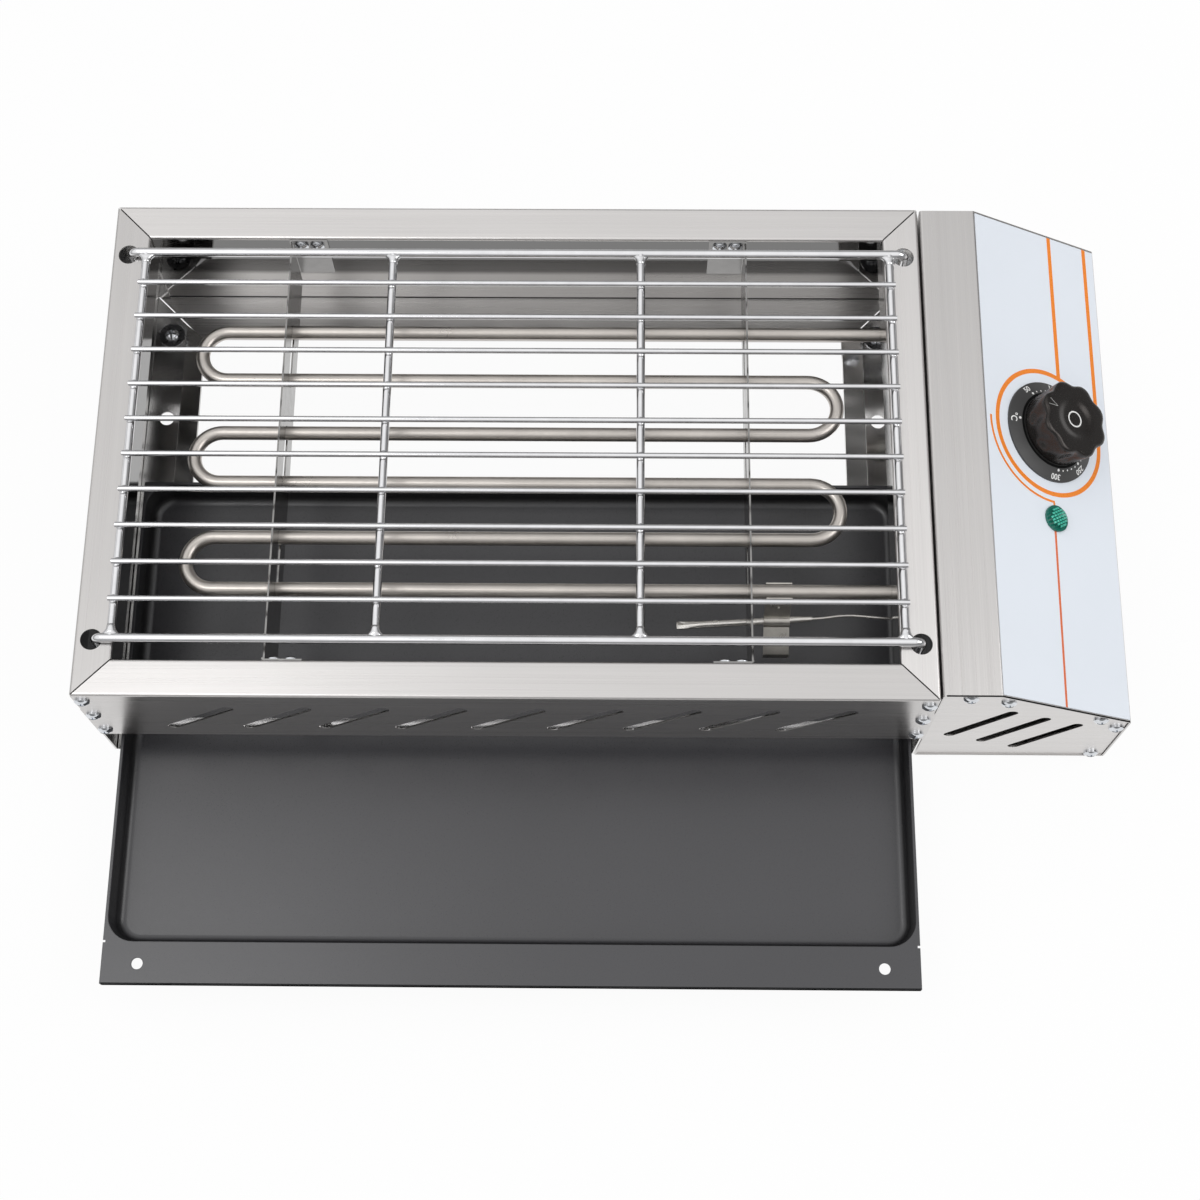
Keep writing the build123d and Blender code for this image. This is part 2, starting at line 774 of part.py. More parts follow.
# Capillary tube: from the bulb through the wall to the thermostat
dial_mid = fascia.from_local_coords((dial_place[0], dial_place[1], 0))
fascia_out = fascia.z_dir
thermostat_foot = dial_mid - fascia_out * (sheet + thermostat_size[2])
capillary_start = Vector(*bulb_origin) + Vector(*bulb_along) * bulb_length
capillary_wall = x_right - sheet
capillary_turn_x = nut_seat + 3 * wire_bend
with BuildPart() as capillary_tube:
    with BuildLine() as capillary_path:
        FilletPolyline(
            capillary_start,
            capillary_start + Vector(*bulb_along) * capillary_lead,
            capillary_start + Vector(*capillary_wave),
            Vector(capillary_wall - 2 * capillary_lead, capillary_y, capillary_z),
            Vector(capillary_turn_x, capillary_y, capillary_z),
            Vector(capillary_turn_x, thermostat_foot.Y, capillary_z),
            thermostat_foot - fascia_out * 2 * wire_bend,
            thermostat_foot,
            radius=[capillary_curve] * 3 + [wire_bend] * 3,
        )
    with BuildSketch(Plane(capillary_path.line @ 0, z_dir=capillary_path.line % 0)):
        Circle(capillary_diameter / 2)
    sweep(path=capillary_path.line)
write("capillary_tube", capillary_tube.part)

# Grommet round the capillary, through the end panel and the box's side
with BuildPart() as capillary_grommet:
    with BuildSketch(Plane((bushing_seat, capillary_y, capillary_z), x_dir=(0, 1, 0), z_dir=(1, 0, 0))):
        Circle(grommet_hole / 2 - fit_gap)
        Circle(capillary_diameter / 2 + fit_gap, mode=Mode.SUBTRACT)
    extrude(amount=sheet + box_gap + sheet)
    with BuildSketch(Plane((bushing_seat, capillary_y, capillary_z), x_dir=(0, 1, 0), z_dir=(1, 0, 0))):
        Circle(grommet_flange / 2)
        Circle(capillary_diameter / 2 + fit_gap, mode=Mode.SUBTRACT)
    extrude(amount=-grommet_flange_thickness)
write("capillary_grommet", capillary_grommet.part)

# Drip tray: a drawn pan with a wide front flange, on the tips of the two runners
runner_tip = z_base + runner_rise + sheet * cos(atan2(runner_rise, runner_reach))
tray_floor = runner_tip + tray_runner_gap
tray_top = tray_floor + tray_depth
tray_front = y_front - tray_pull
pan_width = tray_width - 2 * tray_rim
pan_length = tray_length - tray_front_flange - tray_rim
pan_mid = tray_front + tray_front_flange + pan_length / 2
with BuildPart() as pan_hollow:
    with BuildSketch(Plane.XY.offset(tray_top)):
        with Locations((tray_mid, pan_mid)):
            RectangleRounded(pan_width, pan_length, tray_corner)
    extrude(amount=tray_sheet - tray_depth, taper=tray_draft)
    hollow_foot = pan_hollow.faces().sort_by(Axis.Z)[0]
    fillet(hollow_foot.edges(), tray_floor_radius)

with BuildPart() as drip_tray:
    with BuildSketch(Plane.XY.offset(tray_top)):
        with Locations((tray_mid, pan_mid)):
            RectangleRounded(
                pan_width + 2 * tray_sheet, pan_length + 2 * tray_sheet, tray_corner + tray_sheet
            )
    extrude(amount=-tray_depth, taper=tray_draft)
    pan_foot = drip_tray.faces().sort_by(Axis.Z)[0]
    fillet(pan_foot.edges(), tray_floor_radius + tray_sheet)
    with BuildSketch(Plane.XY.offset(tray_top)):
        with Locations((tray_mid, tray_front + tray_length / 2)):
            Rectangle(tray_width, tray_length)
        with Locations(
            (tray_mid - tray_width / 2, tray_front + tray_front_flange),
            (tray_mid + tray_width / 2, tray_front + tray_front_flange),
        ):
            Rectangle(2 * tray_notch, tray_notch, mode=Mode.SUBTRACT)
    extrude(amount=-tray_sheet)
    with BuildSketch(Plane.XY.offset(tray_top)):
        with Locations((tray_mid, tray_front + tray_sheet / 2)):
            Rectangle(tray_width, tray_sheet)
    extrude(amount=-tray_hem)
    add(pan_hollow.part, mode=Mode.SUBTRACT)
    with BuildSketch(Plane.XY.offset(tray_top)):
        with Locations((tray_mid, tray_front + tray_hole_inset)):
            with GridLocations(tray_width - 2 * tray_hole_side, 0, 2, 1):
                Circle(tray_hole / 2)
    extrude(amount=-2 * tray_sheet, mode=Mode.SUBTRACT)
write("drip_tray", drip_tray.part)

# Control box cover: flat top, slope and sides of one sheet, with return rims for the end plates
ridge = (box_x + box_flat, box_top)
slope_foot = (box_end, box_top - slope_drop)
box_outline = [(box_x, z_box), (box_x, box_top), ridge, slope_foot, (box_end, z_box)]


def box_face(inset=0.0):
    """The control box's end outline, drawn in by the inset."""
    with BuildSketch() as face:
        with BuildLine():
            FilletPolyline(*box_outline, radius=bend, close=True)
        make_face()
        if inset > 0:
            offset(amount=-inset, mode=Mode.REPLACE)
    return face.sketch


lamp_mid = fascia.from_local_coords((lamp_place[0], lamp_place[1], 0))
thermostat_spots = [(dial_place[0], dial_place[1] + side * thermostat_screw_spread / 2) for side in (-1, 1)]
base_screw_spots = []
for x in (box_x + box_foot_flange / 2, box_end - box_foot_flange / 2):
    for y in (box_front + 2 * box_foot_flange, box_rear - 2 * box_foot_flange):
        base_screw_spots.append((x, y))
thermostat_hole = thermostat_screw_thread + 2 * hole_clearance

with BuildPart() as control_box_cover:
    cover_points = [
        (box_x + box_foot_flange, z_box),
        *box_outline,
        (box_end - box_foot_flange, z_box),
    ]
    cover_plane = Plane.XZ.offset(-box_rear)
    extrude(folded(cover_plane, cover_points, Side.RIGHT), amount=box_rear - box_front)
    for rim_y in (plate_front + 2 * sheet, plate_rear - sheet):
        with BuildSketch(Plane.XZ.offset(-rim_y)):
            add(box_face())
            add(box_face(box_rim), mode=Mode.SUBTRACT)
        extrude(amount=sheet)
    with BuildSketch(fascia):
        with Locations(dial_place):
            Circle(shaft_hole / 2)
        with Locations(*thermostat_spots):
            Circle(thermostat_hole / 2)
        with Locations(lamp_place):
            Circle(lamp_body_diameter / 2 + hole_clearance)
    extrude(amount=-2 * sheet, mode=Mode.SUBTRACT)
    with BuildSketch(Plane.YZ.offset(box_x)):
        with Locations(*[(y, z_element) for y in end_run_ys]):
            Circle(bushing_thread / 2 + hole_clearance)
        with Locations((capillary_y, capillary_z)):
            Circle(grommet_hole / 2)
        with Locations(*fixing_spots):
            Circle(screw_hole / 2)
    extrude(amount=2 * sheet, mode=Mode.SUBTRACT)
    with BuildSketch(Plane.XY.offset(z_box)):
        with Locations(*base_screw_spots):
            Circle(screw_hole / 2)
    extrude(amount=2 * sheet, mode=Mode.SUBTRACT)
    slope_at = slope_drop / slope_run
    plate_screw_spots = [
        (box_x + box_flat / 2, box_top - plate_screw_inset),
        (ridge[0] + plate_screw_inset, box_top - plate_screw_inset * (1 + 2 * slope_at)),
        (box_end - 3 * plate_screw_inset, slope_foot[1] + plate_screw_inset * (3 * slope_at - 1.2)),
        (box_end - plate_screw_inset, slope_foot[1] - 2 * plate_screw_inset),
        (box_end - 1.5 * plate_screw_inset, z_box + plate_screw_inset),
    ]
    with BuildSketch(Plane.XZ.offset(-box_rear)):
        with Locations(*plate_screw_spots):
            Circle(screw_hole / 2)
    extrude(amount=box_rear - box_front, mode=Mode.SUBTRACT)
write("control_box_cover", control_box_cover.part)

# End plates of the control box
with BuildPart() as control_box_front_plate:
    with BuildSketch(Plane.XZ.offset(-plate_front)):
        add(box_face(plate_inset))
        for vent in range(box_vent_count):
            vent_x = box_x + box_vent_start[0] + vent * box_vent_step[0]
            vent_z = z_top - box_vent_start[1] - vent * box_vent_step[1]
            with Locations((vent_x, vent_z)):
                SlotOverall(box_vent_length, box_vent_width, rotation=box_vent_angle, mode=Mode.SUBTRACT)
        with Locations(*plate_screw_spots):
            Circle(screw_hole / 2, mode=Mode.SUBTRACT)
    extrude(amount=-sheet)
write("control_box_front_plate", control_box_front_plate.part)

gland_x = box_x + gland_place[0]
gland_z = z_base + gland_place[1]
with BuildPart() as control_box_rear_plate:
    with BuildSketch(Plane.XZ.offset(-plate_rear)):
        add(box_face(plate_inset))
        with Locations(*plate_screw_spots):
            Circle(screw_hole / 2, mode=Mode.SUBTRACT)
        with Locations((gland_x, gland_z)):
            Circle(gland_thread / 2 + hole_clearance, mode=Mode.SUBTRACT)
    extrude(amount=sheet)
write("control_box_rear_plate", control_box_rear_plate.part)

plate_seats = [Plane((x, plate_front, z), x_dir=(1, 0, 0), z_dir=(0, -1, 0)) for x, z in plate_screw_spots]
plate_seats += [Plane((x, plate_rear, z), x_dir=(1, 0, 0), z_dir=(0, 1, 0)) for x, z in plate_screw_spots]
with BuildPart() as box_plate_screws:
    with Locations(*plate_seats):
        add(sheet_screw)
write("box_plate_screws", box_plate_screws.part)

# Base plate of the control box, on the cover's foot flanges
base_margin = sheet + bend
base_floor = z_box + sheet
base_top = base_floor + sheet
block_x = box_x + block_place[0]
block_y = y_rear - block_place[1]
block_screw_spots = [(block_x + side * (block_size[0] / 2 - block_hole), block_y) for side in (-1, 1)]
earth_x = box_x + earth_place[0]
earth_y = y_rear - earth_place[1]
with BuildPart() as control_box_base:
    with BuildSketch(Plane.XY.offset(base_floor)):
        with Locations((box_x + box_width / 2, (box_front + box_rear) / 2)):
            Rectangle(box_width - 2 * base_margin, plate_rear - plate_front - 2 * (2 * sheet + round_gap))
        with Locations(*base_screw_spots):
            Circle(screw_hole / 2, mode=Mode.SUBTRACT)
        with Locations(*block_screw_spots):
            Circle(thermostat_hole / 2, mode=Mode.SUBTRACT)
        with Locations((earth_x, earth_y)):
            Circle(earth_stud_diameter / 2 + fit_gap, mode=Mode.SUBTRACT)
    extrude(amount=sheet)
write("control_box_base", control_box_base.part)

base_seats = [Plane((x, y, z_box), x_dir=(1, 0, 0), z_dir=(0, 0, -1)) for x, y in base_screw_spots]
with BuildPart() as box_base_screws:
    with Locations(*base_seats):
        add(sheet_screw)
write("box_base_screws", box_base_screws.part)

# Spacers, screws and nuts that hold the control box on the right end panel
with BuildPart() as box_spacers:
    with BuildSketch(Plane.YZ.offset(x_right)):
        with Locations(*fixing_spots):
            Circle(spacer_diameter / 2)
            Circle(screw_hole / 2, mode=Mode.SUBTRACT)
    extrude(amount=box_gap)
write("box_spacers", box_spacers.part)

fixing_screw = pan_screw(fixing_length)
fixing_seats = [Plane((bushing_seat, y, z), x_dir=(0, 1, 0), z_dir=(-1, 0, 0)) for y, z in fixing_spots]
with BuildPart() as box_fixing_screws:
    with Locations(*fixing_seats):
        add(fixing_screw)
write("box_fixing_screws", box_fixing_screws.part)

fixing_nut_seats = [Plane((nut_seat, y, z), x_dir=(0, 1, 0), z_dir=(1, 0, 0)) for y, z in fixing_spots]
with BuildPart() as box_fixing_nuts:
    with Locations(*fixing_nut_seats):
        add(nut)
write("box_fixing_nuts", box_fixing_nuts.part)

# Label on the slope
label_depth = box_rear - box_front - 2 * label_margin
with BuildPart() as fascia_label:
    with BuildSketch(fascia):
        with Locations((slope_length / 2, body_depth / 2)):
            Rectangle(slope_length - 2 * label_edge, label_depth)
        with Locations(dial_place):
            Circle(dial_diameter / 2 - 4 * dial_wall, mode=Mode.SUBTRACT)
        with Locations(lamp_place):
            Circle(lamp_body_diameter / 2 + hole_clearance, mode=Mode.SUBTRACT)
    extrude(amount=label_thickness)
write("fascia_label", fascia_label.part)

# Dial ring: a shallow cone over the thermostat's screws
dial_plane = Plane(dial_mid, x_dir=fascia.x_dir, z_dir=fascia.z_dir)
dial_section = Plane(dial_mid, x_dir=fascia.x_dir, z_dir=-fascia.y_dir)
dial_axis = Axis(dial_mid, fascia.z_dir)
dial_crown = label_thickness + dial_height
with BuildPart() as dial_ring:
    with BuildSketch(dial_section):
        with BuildLine():
            Polyline(
                (dial_diameter / 2, label_thickness),
                (dial_diameter / 2, label_thickness + dial_edge),
                (knob_diameter / 2, dial_crown),
                (dial_hole / 2, dial_crown),
                (dial_hole / 2, dial_crown - dial_wall),
                (knob_diameter / 2 - dial_wall, dial_crown - dial_wall),
                (dial_diameter / 2 - 3 * dial_wall, label_thickness),
                close=True,
            )
        make_face()
    revolve(axis=dial_axis)
write("dial_ring", dial_ring.part)

# Knob with eight flutes over a round collar, on the thermostat's shaft
knob_foot = dial_crown + knob_gap
knob_plane = dial_plane.offset(knob_foot)
flute_place = knob_diameter / 2 - knob_flute_depth + knob_flute_radius
with BuildPart() as thermostat_knob:
    with BuildSketch(knob_plane):
        Circle(knob_collar / 2)
    extrude(amount=knob_collar_height)
    with BuildSketch(knob_plane.offset(knob_collar_height)):
        Circle(knob_diameter / 2)
        with PolarLocations(flute_place, knob_flutes):
            Circle(knob_flute_radius, mode=Mode.SUBTRACT)
    extrude(amount=knob_height - knob_collar_height)
    knob_crown = thermostat_knob.faces().filter_by(knob_plane).sort_by(dial_axis)[-1]
    chamfer(knob_crown.edges(), knob_edge)
    with BuildSketch(knob_plane.offset(knob_height)):
        Circle(knob_dimple / 2)
    extrude(amount=-knob_dimple_depth, taper=45, mode=Mode.SUBTRACT)
    with BuildSketch(knob_plane):
        Circle(shaft_diameter / 2 + fit_gap)
    extrude(amount=shaft_in_knob, mode=Mode.SUBTRACT)
write("thermostat_knob", thermostat_knob.part)

with BuildPart() as thermostat_shaft:
    with BuildSketch(dial_plane.offset(-sheet - shaft_in_body + round_gap)):
        Circle(shaft_diameter / 2)
    extrude(amount=sheet + shaft_in_body + knob_foot + shaft_in_knob - 2 * round_gap)
write("thermostat_shaft", thermostat_shaft.part)

# Thermostat under the slope, with its screws and blades
with BuildPart() as thermostat_body:
    with BuildSketch(dial_plane.offset(-sheet)):
        Rectangle(thermostat_size[0], thermostat_size[1])
    extrude(amount=-thermostat_size[2])
    with BuildSketch(dial_plane.offset(-sheet)):
        Circle(shaft_diameter / 2 + fit_gap)
    extrude(amount=-shaft_in_body, mode=Mode.SUBTRACT)
    with BuildSketch(dial_plane.offset(-sheet)):
        with GridLocations(0, thermostat_screw_spread, 1, 2):
            Circle(thermostat_hole / 2)
    extrude(amount=-thermostat_screw_length, mode=Mode.SUBTRACT)
write("thermostat_body", thermostat_body.part)

thermostat_screw = pan_screw(
    thermostat_screw_length, thermostat_screw_thread, thermostat_screw_head, thermostat_screw_head_height
)
thermostat_seats = []
for spot in thermostat_spots:
    seat_point = fascia.from_local_coords((spot[0], spot[1], 0))
    thermostat_seats.append(Plane(seat_point, x_dir=fascia.x_dir, z_dir=fascia.z_dir))
with BuildPart() as thermostat_screws:
    with Locations(*thermostat_seats):
        add(thermostat_screw)
write("thermostat_screws", thermostat_screws.part)

blade_x = thermostat_size[0] / 4
blade_spots = [(-blade_x, blade_spread / 2), (-blade_x, -blade_spread / 2), (blade_x, -blade_spread / 2)]
with BuildPart() as thermostat_terminals:
    with BuildSketch(dial_plane.offset(-sheet - thermostat_size[2])):
        with Locations(*blade_spots):
            Rectangle(blade_thickness, blade_width)
    extrude(amount=-blade_length)
write("thermostat_terminals", thermostat_terminals.part)

# Pilot lamp: faceted lens on the label, body through the slope, spring clip below
lamp_plane = Plane(lamp_mid, x_dir=fascia.x_dir, z_dir=fascia.z_dir)
lamp_section = Plane(lamp_mid, x_dir=fascia.x_dir, z_dir=-fascia.y_dir)
lamp_axis = Axis(lamp_mid, fascia.z_dir)
with BuildPart() as pilot_lamp_lens:
    with BuildSketch(lamp_section):
        with BuildLine():
            lens_side = Polyline(
                (0, label_thickness),
                (lamp_diameter / 2, label_thickness),
                (lamp_diameter / 2, label_thickness + lamp_flange),
            )
            lens_top = (0, label_thickness + lamp_flange + lamp_dome)
            lens_dome = TangentArc(lens_side @ 1, lens_top, tangent=(-1, 0), tangent_from_first=False)
            Line(lens_dome @ 1, lens_side @ 0)
        make_face()
    revolve(axis=lamp_axis)
write("pilot_lamp_lens", pilot_lamp_lens.part)

with BuildPart() as pilot_lamp_body:
    with BuildSketch(lamp_plane.offset(label_thickness)):
        Circle(lamp_body_diameter / 2)
    extrude(amount=-lamp_body_length)
write("pilot_lamp_body", pilot_lamp_body.part)

with BuildPart() as pilot_lamp_clip:
    with BuildSketch(lamp_plane.offset(-sheet)):
        Circle(lamp_clip_diameter / 2)
        Circle(lamp_body_diameter / 2 + fit_gap, mode=Mode.SUBTRACT)
    extrude(amount=-lamp_clip_thickness)
write("pilot_lamp_clip", pilot_lamp_clip.part)

with BuildPart() as pilot_lamp_terminals:
    with BuildSketch(lamp_plane.offset(label_thickness - lamp_body_length)):
        with GridLocations(0, lamp_blade_spread, 1, 2):
            Rectangle(blade_thickness, lamp_blade_width)
    extrude(amount=-blade_length)
write("pilot_lamp_terminals", pilot_lamp_terminals.part)

# Terminal block and earth stud on the base plate
with BuildPart() as terminal_block:
    with BuildSketch(Plane((block_x, block_y, base_top))):
        Rectangle(block_size[0], block_size[1])
        with Locations(*[(x - block_x, y - block_y) for x, y in block_screw_spots]):
            Circle(thermostat_hole / 2, mode=Mode.SUBTRACT)
    extrude(amount=block_size[2])
    with BuildSketch(Plane((block_x, block_y, base_top + block_size[2]))):
        with GridLocations(block_well_pitch, block_row_spread, block_wells, 2):
            Circle(block_well / 2)
    extrude(amount=-block_well_depth, mode=Mode.SUBTRACT)
write("terminal_block", terminal_block.part)

block_screw = pan_screw(
    block_size[2] + sheet, thermostat_screw_thread, thermostat_screw_head, thermostat_screw_head_height
)
block_seats = [(x, y, base_top + block_size[2]) for x, y in block_screw_spots]
with BuildPart() as terminal_block_screws:
    with Locations(*block_seats):
        add(block_screw)
write("terminal_block_screws", terminal_block_screws.part)

with BuildPart() as earth_stud:
    with BuildSketch(Plane((earth_x, earth_y, base_floor))):
        Circle(earth_stud_diameter / 2)
    extrude(amount=earth_stud_height)
write("earth_stud", earth_stud.part)

stud_nut = hex_nut(nut_width, nut_height, earth_stud_diameter + 2 * fit_gap)
with BuildPart() as earth_nut:
    with Locations((earth_x, earth_y, base_top)):
        add(stud_nut)
write("earth_nut", earth_nut.part)

# Cable gland in the rear plate, without a cord
gland_axis_point = Vector(gland_x, plate_rear, gland_z)
gland_section = Plane(gland_axis_point, x_dir=(1, 0, 0), z_dir=(0, 0, 1))
with BuildPart() as cable_gland:
    with BuildSketch(gland_section):
        with BuildLine():
            Polyline(
                (gland_bore / 2, gland_reach),
                (gland_tip / 2, gland_reach),
                (gland_thread / 2, gland_flange_thickness),
                (gland_flange / 2, gland_flange_thickness),
                (gland_flange / 2, 0),
                (gland_thread / 2, 0),
                (gland_thread / 2, -sheet - gland_inside),
                (gland_bore / 2, -sheet - gland_inside),
                close=True,
            )
        make_face()
    revolve(axis=Axis(gland_axis_point, (0, 1, 0)))
write("cable_gland", cable_gland.part)

thread_nut = hex_nut(gland_nut_width, gland_nut_height, gland_thread + 2 * fit_gap)
with BuildPart() as gland_nut:
    with Locations(Plane((gland_x, plate_rear - sheet, gland_z), x_dir=(1, 0, 0), z_dir=(0, -1, 0))):
        add(thread_nut)
write("gland_nut", gland_nut.part)


def lead(points):
    """Insulated wire through the points, with its corners rounded."""
    with BuildPart() as wire:
        with BuildLine() as route:
            FilletPolyline(*points, radius=wire_bend)
        with BuildSketch(Plane(route.line @ 0, z_dir=route.line % 0)):
            Circle(wire_gauge / 2)
        sweep(path=route.line)
    return wire.part


# Inner leads: wells and blades in the order line, switched line, lamp
well_foot = base_top + block_size[2] - block_well_depth
wells = []
for step in range(block_wells):
    well_x = block_x + (step - (block_wells - 1) / 2) * block_well_pitch
    wells.append(Vector(well_x, block_y - block_row_spread / 2, well_foot))
blade_tips = []
for spot in blade_spots:
    blade_tips.append(dial_plane.from_local_coords((*spot, -sheet - thermostat_size[2] - blade_length)))
lamp_tips = []
for side in (1, -1):
    lamp_tip = (0, side * lamp_blade_spread / 2, label_thickness - lamp_body_length - blade_length)
    lamp_tips.append(lamp_plane.from_local_coords(lamp_tip))
pin_x = tube_end + insulator_length + pin_length
rear_pin = Vector(pin_x, end_run_ys[0], z_element)
front_pin = Vector(pin_x, end_run_ys[1], z_element)
stud_top = Vector(earth_x, earth_y, base_floor + earth_stud_height)
below = fascia_out * -2 * wire_bend
above = Vector(0, 0, 3 * wire_bend)
low = Vector(0, 0, 2 * wire_bend)
beside = Vector(2.5 * wire_bend, 0, 0)
lamp_turn = Vector(wells[3].X, lamp_tips[1].Y, wells[3].Z + above.Z)

write("supply_wire", lead([wells[0], wells[0] + above, blade_tips[0] + below, blade_tips[0]]))
write("switched_wire", lead([blade_tips[1], blade_tips[1] + below, front_pin + beside, front_pin]))
write("earth_wire", lead([wells[1], wells[1] + low, stud_top + low, stud_top]))
write("neutral_wire", lead([wells[2], wells[2] + above, rear_pin + beside, rear_pin]))

with BuildPart() as lamp_wires:
    add(lead([lamp_tips[0], lamp_tips[0] + below, blade_tips[2] + below, blade_tips[2]]))
    add(lead([wells[3], wells[3] + above, lamp_turn, lamp_tips[1] + below, lamp_tips[1]]))
write("lamp_wires", lamp_wires.part)
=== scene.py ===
"""Looks of the electric grill: finishes, printed marks, welds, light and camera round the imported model."""
import math

import bmesh
import bpy
from mathutils import Matrix, Vector


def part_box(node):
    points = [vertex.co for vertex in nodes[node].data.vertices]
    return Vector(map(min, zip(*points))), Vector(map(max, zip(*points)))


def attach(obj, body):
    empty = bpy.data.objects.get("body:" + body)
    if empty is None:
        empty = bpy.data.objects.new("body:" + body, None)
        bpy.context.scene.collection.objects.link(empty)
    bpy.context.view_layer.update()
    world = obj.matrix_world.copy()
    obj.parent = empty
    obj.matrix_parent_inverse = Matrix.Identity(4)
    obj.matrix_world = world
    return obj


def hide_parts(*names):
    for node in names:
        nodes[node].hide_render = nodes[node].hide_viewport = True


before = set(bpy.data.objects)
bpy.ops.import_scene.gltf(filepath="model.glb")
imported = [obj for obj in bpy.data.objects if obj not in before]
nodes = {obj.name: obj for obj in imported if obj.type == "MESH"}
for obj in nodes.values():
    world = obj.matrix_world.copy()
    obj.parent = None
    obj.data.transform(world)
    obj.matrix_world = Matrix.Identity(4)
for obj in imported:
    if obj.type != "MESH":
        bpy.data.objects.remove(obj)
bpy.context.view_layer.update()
MM = 0.001

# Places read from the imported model
x_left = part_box("left_end_panel")[0].x
x_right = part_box("right_end_panel")[1].x
y_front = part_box("front_panel")[0].y
y_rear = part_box("rear_panel")[1].y
z_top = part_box("front_panel")[1].z
z_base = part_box("rear_panel")[0].z
front_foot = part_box("front_panel")[0].z
cover_low, cover_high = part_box("control_box_cover")
grate_low, grate_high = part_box("cooking_grate")
tray_low, tray_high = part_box("drip_tray")

# Fascia on the control box's slope: along it from the ridge, to the rear, and out of it
slope_run = 79.7 * MM
slope_drop = 47.3 * MM
tilt = math.atan2(slope_drop, slope_run)
ridge = Vector((cover_high.x - slope_run, y_front, cover_high.z))
along = Vector((math.cos(tilt), 0, -math.sin(tilt)))
rearward = Vector((0, 1, 0))
outward = Vector((math.sin(tilt), 0, math.cos(tilt)))
label_top = 0.3
dial_at = (46.5, 167.3)
lamp_at = (47.0, 114.2)


def on_fascia(s, y, n):
    """A point in the row frame from millimetres on the fascia."""
    return ridge + along * (s * MM) + rearward * (y * MM) + outward * (n * MM)


# Materials
def blank_material(name):
    """A material, its tree and its output's surface socket."""
    mat = bpy.data.materials.new(name)
    mat.use_nodes = True
    tree = mat.node_tree
    tree.nodes.clear()
    out = tree.nodes.new("ShaderNodeOutputMaterial")
    return mat, tree, out.inputs["Surface"]


def new_material(name):
    """A material, its tree and its principled shader."""
    mat, tree, surface = blank_material(name)
    bsdf = tree.nodes.new("ShaderNodeBsdfPrincipled")
    tree.links.new(bsdf.outputs["BSDF"], surface)
    return mat, tree, bsdf


def place(tree):
    """Place on the object at rest, in metres."""
    return tree.nodes.new("ShaderNodeTexCoord").outputs["Object"]


def coordinates(tree):
    """X, Y and Z of the place on the object, as sockets."""
    parts = tree.nodes.new("ShaderNodeSeparateXYZ")
    tree.links.new(place(tree), parts.inputs["Vector"])
    return parts.outputs


def noise(tree, scale, detail=3.0, rough=0.55):
    """Noise with its own scale along each axis, in repeats per metre."""
    mapping = tree.nodes.new("ShaderNodeMapping")
    mapping.inputs["Scale"].default_value = scale
    tree.links.new(place(tree), mapping.inputs["Vector"])
    tex = tree.nodes.new("ShaderNodeTexNoise")
    tex.inputs["Scale"].default_value = 1.0
    tex.inputs["Detail"].default_value = detail
    tex.inputs["Roughness"].default_value = rough
    tree.links.new(mapping.outputs["Vector"], tex.inputs["Vector"])
    return tex.outputs["Fac"]


def math_node(tree, operation, a, b):
    """A maths node; either side may be a number or a socket."""
    node = tree.nodes.new("ShaderNodeMath")
    node.operation = operation
    for socket, value in zip(node.inputs, (a, b)):
        if isinstance(value, (int, float)):
            socket.default_value = value
        else:
            tree.links.new(value, socket)
    return node.outputs["Value"]


def spread(tree, source, low, high, start=0.3, end=0.7):
    """The source from start to end, as numbers from low to high."""
    node = tree.nodes.new("ShaderNodeMapRange")
    node.inputs["From Min"].default_value = start
    node.inputs["From Max"].default_value = end
    node.inputs["To Min"].default_value = low
    node.inputs["To Max"].default_value = high
    tree.links.new(source, node.inputs["Value"])
    return node.outputs["Result"]


def shades(tree, source, first, last, start=0.3, end=0.7):
    """Colours from first to last as the source goes from start to end."""
    node = tree.nodes.new("ShaderNodeValToRGB")
    node.color_ramp.elements[0].position = start
    node.color_ramp.elements[0].color = (*first, 1)
    node.color_ramp.elements[1].position = end
    node.color_ramp.elements[1].color = (*last, 1)
    tree.links.new(source, node.inputs["Fac"])
    return node.outputs["Color"]


def graded(tree, source, pairs):
    """Greys at (position, level) pairs of a source that goes from 0 to 1."""
    node = tree.nodes.new("ShaderNodeValToRGB")
    stops = node.color_ramp.elements
    for stop, (position, level) in zip(stops, (pairs[0], pairs[-1])):
        stop.position = position
        stop.color = (level, level, level, 1)
    for position, level in pairs[1:-1]:
        stops.new(position).color = (level, level, level, 1)
    tree.links.new(source, node.inputs["Fac"])
    return node.outputs["Color"]


def by_height(tree, pairs):
    """Greys at (height, level) pairs, from the lowest height up."""
    low = pairs[0][0]
    high = pairs[-1][0]
    height = spread(tree, coordinates(tree)["Z"], 0.0, 1.0, low, high)
    return graded(tree, height, [((z - low) / (high - low), level) for z, level in pairs])


def tinted(tree, first, second):
    """Two colour sockets multiplied."""
    node = tree.nodes.new("ShaderNodeVectorMath")
    node.operation = "MULTIPLY"
    tree.links.new(first, node.inputs[0])
    tree.links.new(second, node.inputs[1])
    return node.outputs["Vector"]


def mixed(tree, factor, first, last):
    """Two colour sockets mixed by the factor."""
    node = tree.nodes.new("ShaderNodeMix")
    node.data_type = "RGBA"
    tree.links.new(factor, node.inputs["Factor"])
    sockets = [i for i in node.inputs if i.type == "RGBA"]
    tree.links.new(first, sockets[0])
    tree.links.new(last, sockets[1])
    return [o for o in node.outputs if o.type == "RGBA"][0]


def bump(tree, bsdf, height, strength, distance):
    """The shader's normal, roughened by the height."""
    node = tree.nodes.new("ShaderNodeBump")
    node.inputs["Strength"].default_value = strength
    node.inputs["Distance"].default_value = distance
    tree.links.new(height, node.inputs["Height"])
    tree.links.new(node.outputs["Normal"], bsdf.inputs["Normal"])
    return node


